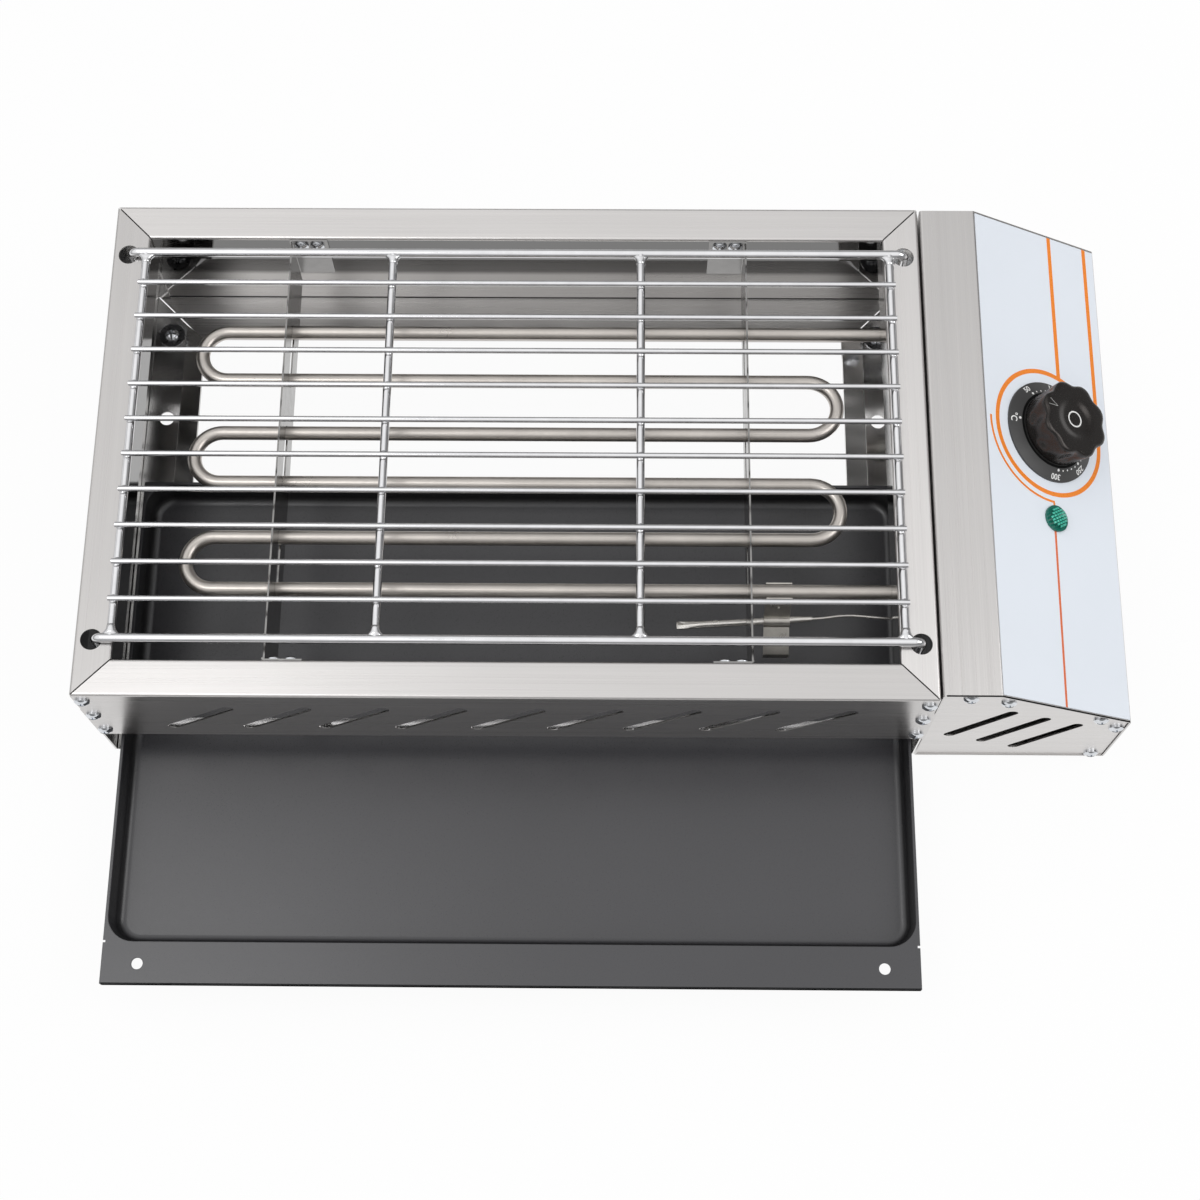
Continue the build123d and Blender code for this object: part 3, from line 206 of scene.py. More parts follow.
def tone(colour, factor):
    """The colour, lighter or darker by the factor."""
    return tuple(min(1.0, c * factor) for c in colour)


def grain_scale(axis, fine, coarse):
    """Noise scale of a grain that runs along the axis."""
    return tuple(coarse if a == axis else fine for a in "XYZ")


def brushed(name, axis, colour, rough, inner_side=(), painted_reflection_levels=(), inner_rough=0.035):
    """Brushed sheet with its grain along an axis. Where all (axis, sign, limit) of its inner side hold,
    it is left smooth, with painted reflection and painted shade as greys given by (height, level) pairs from
    the base up."""
    mat, tree, bsdf = new_material(name)
    fine = noise(tree, grain_scale(axis, fine=2200.0, coarse=6.0), detail=4.0)
    bands = noise(tree, grain_scale(axis, fine=260.0, coarse=3.0), detail=2.0)
    cloud = noise(tree, (9.0, 9.0, 9.0), detail=2.0)
    worn = math_node(tree, "MULTIPLY", fine, 0.5)
    worn = math_node(tree, "ADD", worn, math_node(tree, "MULTIPLY", bands, 0.3))
    worn = math_node(tree, "ADD", worn, math_node(tree, "MULTIPLY", cloud, 0.2))
    shade = shades(tree, worn, tone(colour, 0.955), tone(colour, 1.045), start=0.38, end=0.62)
    gloss = spread(tree, fine, rough - 0.04, rough + 0.05)
    grain = fine
    if inner_side:
        spot = coordinates(tree)
        mask = None
        for where, sign, limit in inner_side:
            test = math_node(tree, "GREATER_THAN" if sign > 0 else "LESS_THAN", spot[where], limit)
            mask = test if mask is None else math_node(tree, "MULTIPLY", mask, test)
        # Painted reflection and painted shade on the inner side, as greys by height
        film = tinted(tree, by_height(tree, painted_reflection_levels), shades(tree, cloud, tone(SMOOTH, 0.94), SMOOTH))
        shade = mixed(tree, mask, shade, film)
        smooth = spread(tree, cloud, inner_rough * 0.6, inner_rough * 1.4)
        turn = math_node(tree, "SUBTRACT", smooth, gloss)
        gloss = math_node(tree, "ADD", gloss, math_node(tree, "MULTIPLY", turn, mask))
        grain = math_node(tree, "MULTIPLY", fine, math_node(tree, "SUBTRACT", 1.0, mask))
    tree.links.new(shade, bsdf.inputs["Base Color"])
    tree.links.new(gloss, bsdf.inputs["Roughness"])
    bsdf.inputs["Metallic"].default_value = 1.0
    bsdf.inputs["Anisotropic"].default_value = 0.5
    across = tree.nodes.new("ShaderNodeCombineXYZ")
    across.inputs["X" if axis == "Y" else "Y"].default_value = 1.0
    across.inputs["Z"].default_value = 0.6
    tree.links.new(across.outputs["Vector"], bsdf.inputs["Tangent"])
    bump(tree, bsdf, grain, strength=0.08, distance=0.2 * MM)
    return mat


def metal(name, colour, rough, mottle=0.1, scale=60.0, wear=0.06, texture=0.05):
    """Plain metal with a mottled tone and a little uneven gloss."""
    mat, tree, bsdf = new_material(name)
    patch = noise(tree, (scale, scale, scale), 4.0)
    grit = noise(tree, (scale * 18, scale * 18, scale * 18), 2.0)
    shade = shades(tree, patch, tone(colour, 1 - mottle), tone(colour, 1 + mottle))
    tree.links.new(shade, bsdf.inputs["Base Color"])
    tree.links.new(spread(tree, patch, max(0.03, rough - wear), rough + wear), bsdf.inputs["Roughness"])
    bsdf.inputs["Metallic"].default_value = 1.0
    bump(tree, bsdf, grit, texture, distance=0.1 * MM)
    return mat


def coated(name, colour, rough, grain=900.0, texture=0.15, mottle=0.12, sheen=0.5, tint=(1, 1, 1),
           edge=0.0, wear=0.05, levels=()):
    """Paint, rubber, film or moulded plastic with a fine surface grain, and where they are given with rounded
    edges and with painted shade as greys by height."""
    mat, tree, bsdf = new_material(name)
    patch = noise(tree, (14.0, 14.0, 14.0), 3.0)
    grit = noise(tree, (grain, grain, grain), 3.0)
    shade = shades(tree, patch, tone(colour, 1 - mottle), tone(colour, 1 + mottle))
    if levels:
        shade = tinted(tree, by_height(tree, levels), shade)
    tree.links.new(shade, bsdf.inputs["Base Color"])
    tree.links.new(spread(tree, grit, rough - wear, rough + wear), bsdf.inputs["Roughness"])
    bsdf.inputs["Specular IOR Level"].default_value = sheen
    bsdf.inputs["Specular Tint"].default_value = (*tint, 1)
    surface = bump(tree, bsdf, grit, texture, distance=0.1 * MM)
    if edge:
        soft = tree.nodes.new("ShaderNodeBevel")
        soft.inputs["Radius"].default_value = edge
        tree.links.new(soft.outputs["Normal"], surface.inputs["Normal"])
    return mat


STEEL = (0.665, 0.648, 0.638)
STEEL_ROUGH = 0.30
SMOOTH = (1.0, 0.99, 0.98)
# Inner sides: past half a sheet, under the rim's bend and, at the rear, above the flange
skin = 0.5 * MM
under_rim = ("Z", -1, z_top - 1.8 * MM)
above_flange = ("Z", 1, z_base + 1.1 * MM)
lip_foot = z_top - 24 * MM
# Painted reflection and painted shade on the panels' inner sides, as greys by height: darker lips, a lighter
# foot at the front, and at the rear a dark crease over the flange and a dark upper wall
left_painted_reflection = [(z_base, 0.65), (lip_foot - MM, 0.65), (lip_foot, 0.20), (z_top, 0.20)]
right_painted_reflection = [(z_base, 0.90), (lip_foot - MM, 0.90), (lip_foot, 0.45), (z_top, 0.45)]
front_painted_reflection = [(front_foot + 2 * MM, 0.95), (front_foot + 3 * MM, 0.85), (z_top, 0.85)]
rear_painted_reflection = [
    (z_base, 0.10), (z_base + 2.6 * MM, 0.10), (z_base + 3.0 * MM, 0.62), (z_base + 31 * MM, 0.62),
    (z_base + 36 * MM, 0.18), (z_base + 51 * MM, 0.12), (lip_foot - MM, 0.12), (lip_foot, 0.18),
    (z_top, 0.18),
]
# Grain, tone (painted light: each panel lighter or darker as the light falls on it), and for the inner side
# its limits, its painted reflection and shade as greys by height, and its roughness
panel_looks = {
    "left_end_panel": ("Y", 0.84, [("X", 1, x_left + skin), under_rim], left_painted_reflection, 0.12),
    "right_end_panel": ("Y", 1.05, [("X", -1, x_right - skin), under_rim], right_painted_reflection, 0.14),
    "front_panel": ("X", 0.92, [("Y", 1, y_front + skin), under_rim], front_painted_reflection, 0.08),
    "rear_panel": ("X", 0.99, [("Y", -1, y_rear - skin), under_rim, above_flange], rear_painted_reflection, 0.035),
}
looks = {}
for node, (axis, level, inner_side, painted_reflection_levels, inner_rough) in panel_looks.items():
    colour = tone(STEEL, level)
    looks[node] = brushed("steel_" + node, axis, colour, STEEL_ROUGH, inner_side, painted_reflection_levels, inner_rough)
# The cover's steel is toned darker, as painted shade
looks["control_box_cover"] = brushed("steel_cover", "Y", tone(STEEL, 0.875), STEEL_ROUGH)
plate_steel = brushed("steel_plate", "X", STEEL, STEEL_ROUGH)
for node in ("control_box_front_plate", "control_box_rear_plate", "control_box_base"):
    looks[node] = plate_steel

zinc = metal("bright_zinc", (0.68, 0.70, 0.73), rough=0.13, mottle=0.08, scale=400.0)
for node in nodes:
    if node.endswith(("_screws", "_nuts", "_spacers")) or node in ("earth_nut", "pilot_lamp_clip"):
        looks[node] = zinc
looks["element_bushings"] = metal("bushing_steel", (0.55, 0.54, 0.51), rough=0.30, mottle=0.1, scale=200.0)
looks["foot_washers"] = metal("dark_oxide", (0.17, 0.17, 0.175), rough=0.28, mottle=0.12, scale=200.0)
rubber = coated("rubber", (0.02, 0.02, 0.02), rough=0.70, grain=1500.0, texture=0.3)
looks["rubber_feet"] = rubber
looks["capillary_grommet"] = rubber
chrome = metal(
    "bright_chrome", (0.77, 0.77, 0.785), rough=0.09, mottle=0.05, scale=90.0, wear=0.03, texture=0.02,
)
looks["cooking_grate"] = chrome
looks["heating_element"] = metal(
    "element_tube", (0.55, 0.515, 0.48), rough=0.31, mottle=0.10, scale=28.0, wear=0.04, texture=0.008,
)
strip_steel = metal("strip_steel", (0.28, 0.275, 0.27), rough=0.22, mottle=0.08, scale=120.0, wear=0.05)
for node in ("element_support_left", "element_support_right"):
    looks[node] = strip_steel
clip_steel = metal("clip_steel", (0.50, 0.48, 0.445), rough=0.32, mottle=0.12, scale=150.0)
looks["bulb_clip"] = clip_steel
nickel = metal("nickel", (0.72, 0.70, 0.665), rough=0.24, mottle=0.08, scale=120.0, wear=0.05, texture=0.02)
looks["sensor_bulb"] = nickel
looks["capillary_tube"] = nickel
ceramic = coated("ceramic", (0.80, 0.77, 0.70), rough=0.30, grain=500.0, texture=0.05, mottle=0.06)
looks["element_insulators"] = ceramic
looks["terminal_block"] = ceramic
brass = metal("brass", (0.72, 0.55, 0.25), rough=0.28, mottle=0.1, scale=250.0)
for node in ("element_pins", "thermostat_terminals", "pilot_lamp_terminals", "earth_stud"):
    looks[node] = brass
charcoal = (0.035, 0.0347, 0.0392)
# Painted shade: the pan's walls are darker than its floor and flanges
tray_painted_shade = [
    (tray_low.z + 1.1 * MM, 1.0), (tray_low.z + 2.6 * MM, 0.25), (tray_high.z - 1.4 * MM, 0.25),
    (tray_high.z - 0.8 * MM, 1.0),
]
looks["drip_tray"] = coated(
    "tray_coating", charcoal, rough=0.31, grain=2200.0, texture=0.10, mottle=0.05, sheen=0.76,
    edge=0.6 * MM, levels=tray_painted_shade,
)
looks["fascia_label"] = coated(
    "label_film", (0.80, 0.845, 0.91), rough=0.26, grain=500.0, texture=0.0, mottle=0.01, wear=0.01,
)
looks["dial_ring"] = coated(
    "dial_black", (0.042, 0.0415, 0.042), rough=0.42, grain=1400.0, texture=0.10, mottle=0.10,
)
# Warm tint on the knob's reflections, a painted warm reflection
warm_reflection_tint = (1.0, 0.92, 0.88)
looks["thermostat_knob"] = coated(
    "knob_black", (0.010, 0.0092, 0.0088), rough=0.24, grain=900.0, texture=0.02, mottle=0.15, tint=warm_reflection_tint,
)
moulded = coated("moulded_black", (0.02, 0.02, 0.02), rough=0.40, grain=1200.0, texture=0.12)
for node in ("thermostat_body", "pilot_lamp_body", "cable_gland", "gland_nut"):
    looks[node] = moulded
looks["thermostat_shaft"] = metal("shaft_steel", (0.60, 0.60, 0.59), rough=0.25)
brown = coated("brown_sleeve", (0.16, 0.07, 0.03), rough=0.40)
looks["supply_wire"] = brown
looks["switched_wire"] = brown
looks["neutral_wire"] = coated("blue_sleeve", (0.03, 0.09, 0.35), rough=0.40)
looks["earth_wire"] = coated("green_sleeve", (0.10, 0.33, 0.05), rough=0.40)
looks["lamp_wires"] = coated("white_sleeve", (0.75, 0.74, 0.70), rough=0.40)
looks["pilot_lamp_lens"] = coated(
    "lens_rim", (0.004, 0.115, 0.085), rough=0.10, grain=300.0, texture=0.02, mottle=0.25, sheen=0.6,
)
for node, mat in looks.items():
    nodes[node].data.materials.clear()
    nodes[node].data.materials.append(mat)

facet_green = coated(
    "lens_facet", (0.04, 0.39, 0.285), rough=0.08, grain=400.0, texture=0.02, mottle=0.30, sheen=0.6,
)
orange = coated("orange_print", (0.90, 0.25, 0.025), rough=0.30, grain=800.0, texture=0.02, mottle=0.03)
red_orange = coated(
    "red_orange_print", (0.74, 0.17, 0.06), rough=0.30, grain=800.0, texture=0.02, mottle=0.03,
)
white_print = coated("white_print", (0.80, 0.80, 0.79), rough=0.40, grain=800.0, texture=0.02, mottle=0.03)
grey_print = coated("grey_print", (0.38, 0.38, 0.37), rough=0.40, grain=800.0, texture=0.02, mottle=0.05)
# Black for painted shadows in the mitres, the dial's gap round the knob and the box's groove
painted_shadow_black = coated("painted_shadow_black", (0.008, 0.008, 0.008), rough=0.6, grain=900.0, texture=0.2, sheen=0.05)
# Black for the painted shade on the tray's folded edge
edge_painted_shade = coated("edge_painted_shade", (0.010, 0.010, 0.0105), rough=0.55, grain=900.0, texture=0.1, sheen=0.0)
weld = metal("weld_bead", (0.72, 0.72, 0.735), rough=0.17, mottle=0.08, scale=300.0, wear=0.05, texture=0.10)


# Pieces
ROUND_SIDES = 20


def add_piece(name, mesh, mat, body):
    """An object of the mesh that rides on the body."""
    mesh.materials.clear()
    mesh.materials.append(mat)
    piece = bpy.data.objects.new(name, mesh)
    bpy.context.scene.collection.objects.link(piece)
    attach(piece, body)
    return piece


def finished(bm, name, smooth=False):
    """The drawn faces as a mesh."""
    bmesh.ops.recalc_face_normals(bm, faces=bm.faces)
    for face in bm.faces:
        face.smooth = smooth
    mesh = bpy.data.meshes.new(name)
    bm.to_mesh(mesh)
    bm.free()
    return mesh


def skin_rings(bm, rings):
    """Faces between rings of equal length, with both ends closed."""
    count = len(rings[0])
    for a, b in zip(rings, rings[1:]):
        for i in range(count):
            j = (i + 1) % count
            bm.faces.new((a[i], a[j], b[j], b[i]))
    bm.faces.new(rings[0])
    bm.faces.new(rings[-1])


def ribbon(bm, points, width, low, high, closed=False):
    """A printed line along the points on the fascia, in millimetres."""
    flat = [Vector(p) for p in points]
    count = len(flat)
    rings = []
    for i, p in enumerate(flat):
        before = flat[i - 1] if closed or i else p
        after = flat[(i + 1) % count] if closed or i < count - 1 else p
        way = (after - before).normalized()
        side = Vector((-way.y, way.x)) * (width / 2)
        ring = []
        for q, n in ((p - side, low), (p - side, high), (p + side, high), (p + side, low)):
            ring.append(bm.verts.new(on_fascia(q.x, q.y, n)))
        rings.append(ring)
    if not closed:
        skin_rings(bm, rings)
        return
    for a, b in zip(rings, rings[1:] + rings[:1]):
        for i in range(4):
            j = (i + 1) % 4
            bm.faces.new((a[i], a[j], b[j], b[i]))


def arc(centre, radius, start, end, steps):
    """Points on an arc, from angles in degrees."""
    points = []
    for i in range(steps + 1):
        a = math.radians(start + (end - start) * i / steps)
        points.append((centre[0] + radius * math.cos(a), centre[1] + radius * math.sin(a)))
    return points


def button(bm, matrix, radius, height):
    """A small round button or dot with a softened rim."""
    rings = []
    for r, n in ((1.0, 0.0), (1.0, 0.7), (0.86, 1.0)):
        ring = []
        for i in range(ROUND_SIDES):
            a = 2 * math.pi * i / ROUND_SIDES
            spot = Vector((r * radius * math.cos(a), r * radius * math.sin(a), n * height))
            ring.append(bm.verts.new(matrix @ spot))
        rings.append(ring)
    skin_rings(bm, rings)


def axes_at(spot, right, up, normal):
    """Matrix of three axes at a point."""
    return Matrix((
        (right.x, up.x, normal.x, spot.x),
        (right.y, up.y, normal.y, spot.y),
        (right.z, up.z, normal.z, spot.z),
        (0, 0, 0, 1),
    ))


# Orange lines on the label
print_low = label_top
print_high = label_top + 0.05
crossing_high = print_high + 0.01
label_rear = 296.6
label_front = 3.4
ring_radius = 37.9
stripe_s = 57.0
side_stripe_s = 84.6
lead_radius = 42.7
stripe_width = 2.7
lead_width = 1.4
lower_width = 1.5
lower_start_s = 46.2
lower_end_s = 45.2
lamp_cover = 7.0
stripe_end = dial_at[1] + math.sqrt(ring_radius ** 2 - (stripe_s - dial_at[0]) ** 2)
stripe = [(stripe_s, label_rear), (stripe_s, stripe_end)]
side_stripe = [(side_stripe_s, label_rear), (side_stripe_s, dial_at[1])]
lead_start = dial_at[1] - lead_radius + lead_width / 2
lead = [(dial_at[0], lead_start), (lamp_at[0], lamp_at[1] + lamp_cover)]
lower_line = [(lower_start_s, lamp_at[1] - lamp_cover), (lower_end_s, label_front)]
bm = bmesh.new()
ribbon(bm, arc(dial_at, ring_radius, 0, 360, 160)[:-1], stripe_width, print_low, print_high, True)
ribbon(bm, stripe, stripe_width, print_low, crossing_high)
ribbon(bm, side_stripe, stripe_width, print_low, crossing_high)
ribbon(bm, arc(dial_at, lead_radius, 178, 270, 70), lead_width, print_low, print_high)
ribbon(bm, lead, lead_width, print_low, crossing_high)
add_piece("label_lines", finished(bm, "label_lines"), orange, "grill_body")
bm = bmesh.new()
ribbon(bm, lower_line, lower_width, print_low, print_high)
add_piece("label_lower_line", finished(bm, "label_lower_line"), red_orange, "grill_body")

# Marks on the dial's cone
dial_rim = 30.5
dial_inner = 23.0
rim_height = label_top + 1.2
crown_height = label_top + 3.6
cone = math.atan2(crown_height - rim_height, dial_rim - dial_inner)


def on_dial(angle, radius, lift):
    """Matrix on the dial's cone: X along the rim, Y outwards, Z out of the surface."""
    a = math.radians(angle)
    radial = along * math.cos(a) + rearward * math.sin(a)
    up = radial * math.cos(cone) - outward * math.sin(cone)
    normal = outward * math.cos(cone) + radial * math.sin(cone)
    height = rim_height + (dial_rim - radius) * math.tan(cone) + lift
    spot = on_fascia(*dial_at, height) + radial * (radius * MM)
    return axes_at(spot, up.cross(normal), up, normal)


figure_depth = 0.03 * MM
figure_weight = 0.075 * MM


def figures(text, size):
    """Mesh of plain figures, centred, in metres."""
    curve = bpy.data.curves.new("figures", "FONT")
    curve.body = text
    curve.size = size * MM
    curve.align_x = "CENTER"
    curve.align_y = "CENTER"
    curve.extrude = figure_depth
    curve.offset = figure_weight
    holder = bpy.data.objects.new("figures", curve)
    bpy.context.scene.collection.objects.link(holder)
    bpy.context.view_layer.update()
    mesh = bpy.data.meshes.new_from_object(holder.evaluated_get(bpy.context.evaluated_depsgraph_get()))
    bpy.data.objects.remove(holder)
    return mesh


figure_radius = 27.7
figure_size = 4.6
unit_size = 5.2
dot_radius = 24.1
small_dot_radius = 24.3
dot_half = 0.8 * MM
small_dot_half = 0.5 * MM
dot_height = 0.06 * MM
first_dot = 122.7
dot_step = -41.46
first_figure = 126.0
figure_step = -42.8
off_mark = 174.0
marks = [("\u00b0C", off_mark, off_mark, unit_size, 180.0)]
for i in range(6):
    figure_angle = first_figure + figure_step * i
    marks.append((str(50 * (i + 1)), figure_angle, first_dot + dot_step * i, figure_size, 0.0))
bm = bmesh.new()
for text, figure_angle, dot_angle, size, turn in marks:
    mesh = figures(text, size)
    mesh.transform(on_dial(figure_angle, figure_radius, 0.02) @ Matrix.Rotation(math.radians(turn), 4, "Z"))
    bm.from_mesh(mesh)
    bpy.data.meshes.remove(mesh)
    button(bm, on_dial(dot_angle, dot_radius, 0.0), dot_half, dot_height)
for i in range(5):
    for j in range(1, 5):
        dot_angle = first_dot + dot_step * (i + j / 5)
        button(bm, on_dial(dot_angle, small_dot_radius, 0.0), small_dot_half, dot_height)
add_piece("dial_marks", finished(bm, "dial_marks"), white_print, "grill_body")

# Painted shadow: a black ring round the knob's foot
gap_radius = dial_inner - 0.8
gap_width = 1.5
bm = bmesh.new()
ribbon(bm, arc(dial_at, gap_radius, 0, 360, 120)[:-1], gap_width, crown_height, crown_height + 0.05, True)
add_piece("dial_gap_shadow", finished(bm, "dial_gap_shadow"), painted_shadow_black, "grill_body")

# Knob with soft flutes, a round collar and a shallow dimple in its crown
knob_foot = crown_height + 0.7
knob_height = 18.4
flutes = 8
flute_steps = 24
flute_power = 1.25
dimple_depth = 1.2
# Height, radius and depth of the flutes, from the foot up and in over the crown
knob_rows = [
    (0.0, 20.9, 0.0), (0.5, 21.4, 0.0), (1.3, 21.6, 0.0), (3.4, 21.7, 0.0), (4.2, 21.75, 0.1),
    (5.0, 21.9, 0.45), (6.2, 22.1, 1.1), (7.8, 22.3, 1.75), (10.0, 22.5, 2.1), (13.4, 22.75, 2.25),
    (16.4, 22.95, 2.25), (17.2, 22.85, 2.25), (17.8, 22.45, 2.2), (18.2, 21.8, 2.1), (18.4, 20.8, 2.0),
    (18.4, 18.5, 1.3), (18.4, 16.0, 0.6), (18.38, 13.8, 0.1), (18.25, 12.4, 0.0), (18.0, 11.2, 0.0),
    (17.6, 9.8, 0.0), (17.32, 8.6, 0.0), (17.2, 7.4, 0.0), (17.2, 3.0, 0.0),
]
steps = flute_steps * flutes
rings = []
bm = bmesh.new()
for height, radius, depth in knob_rows:
    ring = []
    for i in range(steps):
        a = 2 * math.pi * i / steps
        scoop = ((1 + math.cos(flutes * a)) / 2) ** flute_power
        r = radius - depth * scoop
        s = dial_at[0] + r * math.cos(a)
        y = dial_at[1] + r * math.sin(a)
        ring.append(bm.verts.new(on_fascia(s, y, knob_foot + height)))
    rings.append(ring)
skin_rings(bm, rings)
shell = finished(bm, "knob_shell", True)
knob = add_piece("knob_shell", shell, looks["thermostat_knob"], "thermostat_control")
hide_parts("thermostat_knob")

# Plain ring in the knob's dimple and a pointer on its crown
knob_top = knob_foot + knob_height
dimple_floor = knob_top - dimple_depth
mark_radius = 4.5
mark_width = 0.85
bm = bmesh.new()
ribbon(bm, arc(dial_at, mark_radius, 0, 360, 64)[:-1], mark_width, dimple_floor, dimple_floor + 0.06, True)
ring_mark = finished(bm, "knob_ring_mark")
add_piece("knob_ring_mark", ring_mark, white_print, "thermostat_control")
pointer = math.radians(161)
pointer_spread = 5.5
pointer_outer = 20.2
pointer_inner = 14.0
pointer_width = 0.3
bm = bmesh.new()
for side in (-pointer_spread, pointer_spread):
    a = pointer + math.radians(side)
    start = (dial_at[0] + pointer_outer * math.cos(a), dial_at[1] + pointer_outer * math.sin(a))
    end = (dial_at[0] + pointer_inner * math.cos(pointer), dial_at[1] + pointer_inner * math.sin(pointer))
    ribbon(bm, [start, end], pointer_width, knob_top - 0.02, knob_top + 0.05)
add_piece("knob_pointer", finished(bm, "knob_pointer"), grey_print, "thermostat_control")

# Waffle facets on the lamp's dome
lens_radius = 7.8
lens_rise = 3.6
lens_rim = 1.4
lens_crown = label_top + lens_rim + lens_rise
lens_sphere = (lens_radius ** 2 + lens_rise ** 2) / (2 * lens_rise)
facet_pitch = 1.7
facet_reach = 5.6
facet_turn = math.radians(28)
facet_rows = ((0.62, -0.12), (0.55, 0.20), (0.34, 0.33))
bm = bmesh.new()
for i in range(-3, 4):
    for j in range(-3, 4):
        if math.hypot(i, j) * facet_pitch > facet_reach:
            continue
        rings = []
        for half, lift in facet_rows:
            ring = []
            for u, v in ((-half, -half), (half, -half), (half, half), (-half, half)):
                p = i * facet_pitch + u
                q = j * facet_pitch + v
                s = p * math.cos(facet_turn) - q * math.sin(facet_turn)
                y = p * math.sin(facet_turn) + q * math.cos(facet_turn)
                dome = lens_crown - lens_sphere + math.sqrt(lens_sphere ** 2 - s ** 2 - y ** 2)
                ring.append(bm.verts.new(on_fascia(lamp_at[0] + s, lamp_at[1] + y, dome + lift)))
            rings.append(ring)
        skin_rings(bm, rings)
add_piece("lens_facets", finished(bm, "lens_facets"), facet_green, "grill_body")

# Welds of the grate, where the wires cross the rods and the rods meet the bars
grate_mid = (grate_low.x + grate_high.x) / 2
rod_inset = 19.2 * MM
rod_count = 4
wire_count = 10
rod_half = (x_right - x_left) / 2 - rod_inset
bar_lift = 2.9 * MM
bar_mid = z_top + bar_lift
bar_inset = 32 * MM
bar_ys = (y_front + bar_inset, y_rear - bar_inset)
rod_xs = [grate_mid + rod_half * (2 * i / (rod_count - 1) - 1) for i in range(rod_count)]
bar_span = bar_ys[1] - bar_ys[0]
wire_ys = [bar_ys[0] + (i + 1) * bar_span / (wire_count + 1) for i in range(wire_count)]
bead_width = 2.3 * MM
bead_length = 2.9 * MM
bead_height = 1.15 * MM
bead_lift = 2.1 * MM
# Reach in from the bar's middle and half width of a rod's welded end
rod_skin = 2.42
flare = ((7.5, rod_skin), (6.0, 2.6), (5.0, 2.85), (4.2, 3.2), (3.5, 3.7), (2.9, 4.3), (2.2, 4.8), (0.8, 4.9))


def bead(bm, middle, size, turn=0.0):
    """A drop of weld metal."""
    shape = Matrix.Translation(middle) @ Matrix.Rotation(turn, 4, "Z") @ Matrix.Diagonal((*size, 1))
    bmesh.ops.create_icosphere(bm, subdivisions=2, radius=1.0, matrix=shape)


def joint(bm, x, bar_y, inward, uneven):
    """A rod's end, drawn out wider where it is welded to a bar."""
    rings = []
    for reach, half in flare:
        half = rod_skin + (half - rod_skin) * uneven
        height = 2.46 if reach > 2.5 else 2.2
        ring = []
        for i in range(ROUND_SIDES):
            a = 2 * math.pi * i / ROUND_SIDES
            ring.append(bm.verts.new((
                x + half * MM * math.cos(a),
                bar_y + inward * reach * MM,
                bar_mid + height * MM * math.sin(a),
            )))
        rings.append(ring)
    skin_rings(bm, rings)


bm = bmesh.new()
for i, x in enumerate(rod_xs):
    for j, y in enumerate(wire_ys):
        uneven = 1 + 0.12 * math.sin(5.1 * i + 2.3 * j)
        size = (bead_width, bead_length * uneven, bead_height)
        bead(bm, Vector((x, y, bar_mid + bead_lift)), size, 0.2 * math.sin(3.7 * j + i))
    joint(bm, x, bar_ys[0], 1, 1 + 0.12 * math.sin(4.3 * i))
    joint(bm, x, bar_ys[1], -1, 1 + 0.12 * math.sin(4.3 * i + 1.9))
add_piece("grate_welds", finished(bm, "grate_welds", True), weld, "cooking_grate")

# Painted shadow along the rim's mitres: a black line in the gap and a wider black strip below it
rim_width = 21 * MM
rim_under = z_top - 1.0 * MM
shadow_rows = (
    (z_top + 0.03 * MM, z_top - 0.2 * MM, 0.36 * MM, 1.0),
    (rim_under, rim_under - 0.5 * MM, 1.6 * MM, 0.8),
)
bm = bmesh.new()
for corner_x, way_x in ((x_left, 1), (x_right, -1)):
    for corner_y, way_y in ((y_front, 1), (y_rear, -1)):
        way = Vector((way_x, way_y, 0))
        across = Vector((-way.y, way.x, 0)).normalized()
        for high, low, half, taper in shadow_rows:
            rings = []
            for share in (0.12, 0.3, 0.6, 0.95):
                middle = Vector((corner_x, corner_y, 0)) + way * (rim_width * share)
                ring = []
                for aside, z in ((-half, high), (half, high), (half * taper, low), (-half * taper, low)):
                    ring.append(bm.verts.new(middle + across * aside + Vector((0, 0, z))))
                rings.append(ring)
            skin_rings(bm, rings)
add_piece("mitre_shadows", finished(bm, "mitre_shadows"), painted_shadow_black, "grill_body")

# Painted shadow: a black strip in the groove between the control box's cover and its front plate
cover_left = cover_low.x
cover_front = cover_low.y
groove_width = 0.8 * MM
upward = Vector((0, 0, 1))
groove_path = (
    (Vector((cover_left + 1.6 * MM, 0, cover_high.z)), upward),
    (Vector((ridge.x, 0, cover_high.z)), (upward + outward).normalized()),
    (Vector((cover_high.x - 0.6 * MM, 0, cover_high.z - slope_drop + 0.35 * MM)), outward),
)
bm = bmesh.new()
rings = []
for spot, normal in groove_path:
    ring = []
    for y, lift in ((0, 0.03), (groove_width, 0.03), (groove_width, -0.3), (0, -0.3)):
        ring.append(bm.verts.new(spot + Vector((0, cover_front + y, 0)) + normal * (lift * MM)))
    rings.append(ring)
skin_rings(bm, rings)
add_piece("box_groove_shadow", finished(bm, "box_groove_shadow"), painted_shadow_black, "grill_body")


def strip_along_x(low, high, inset, near, y, z, section):
    """A section in millimetres from y and z, drawn between low and high, with more rings near its ends."""
    bm = bmesh.new()
    rings = []
    for x in (low + inset, low + near, high - near, high - inset):
        ring = []
        for aside, lift in section:
            ring.append(bm.verts.new((x, y + aside * MM, z + lift * MM)))
        rings.append(ring)
    skin_rings(bm, rings)
    return bm


# Turned edge at the foot of the control box's front plate
hem_section = ((0.05, 0.3), (-0.1, 0.6), (-0.1, 1.5), (0.1, 1.7), (0.9, 1.7), (0.9, 0.0), (0.35, 0.0))
bm = strip_along_x(cover_left, cover_high.x, 0.6 * MM, 30 * MM, cover_front, cover_low.z, hem_section)
add_piece("plate_hem", finished(bm, "plate_hem"), plate_steel, "grill_body")

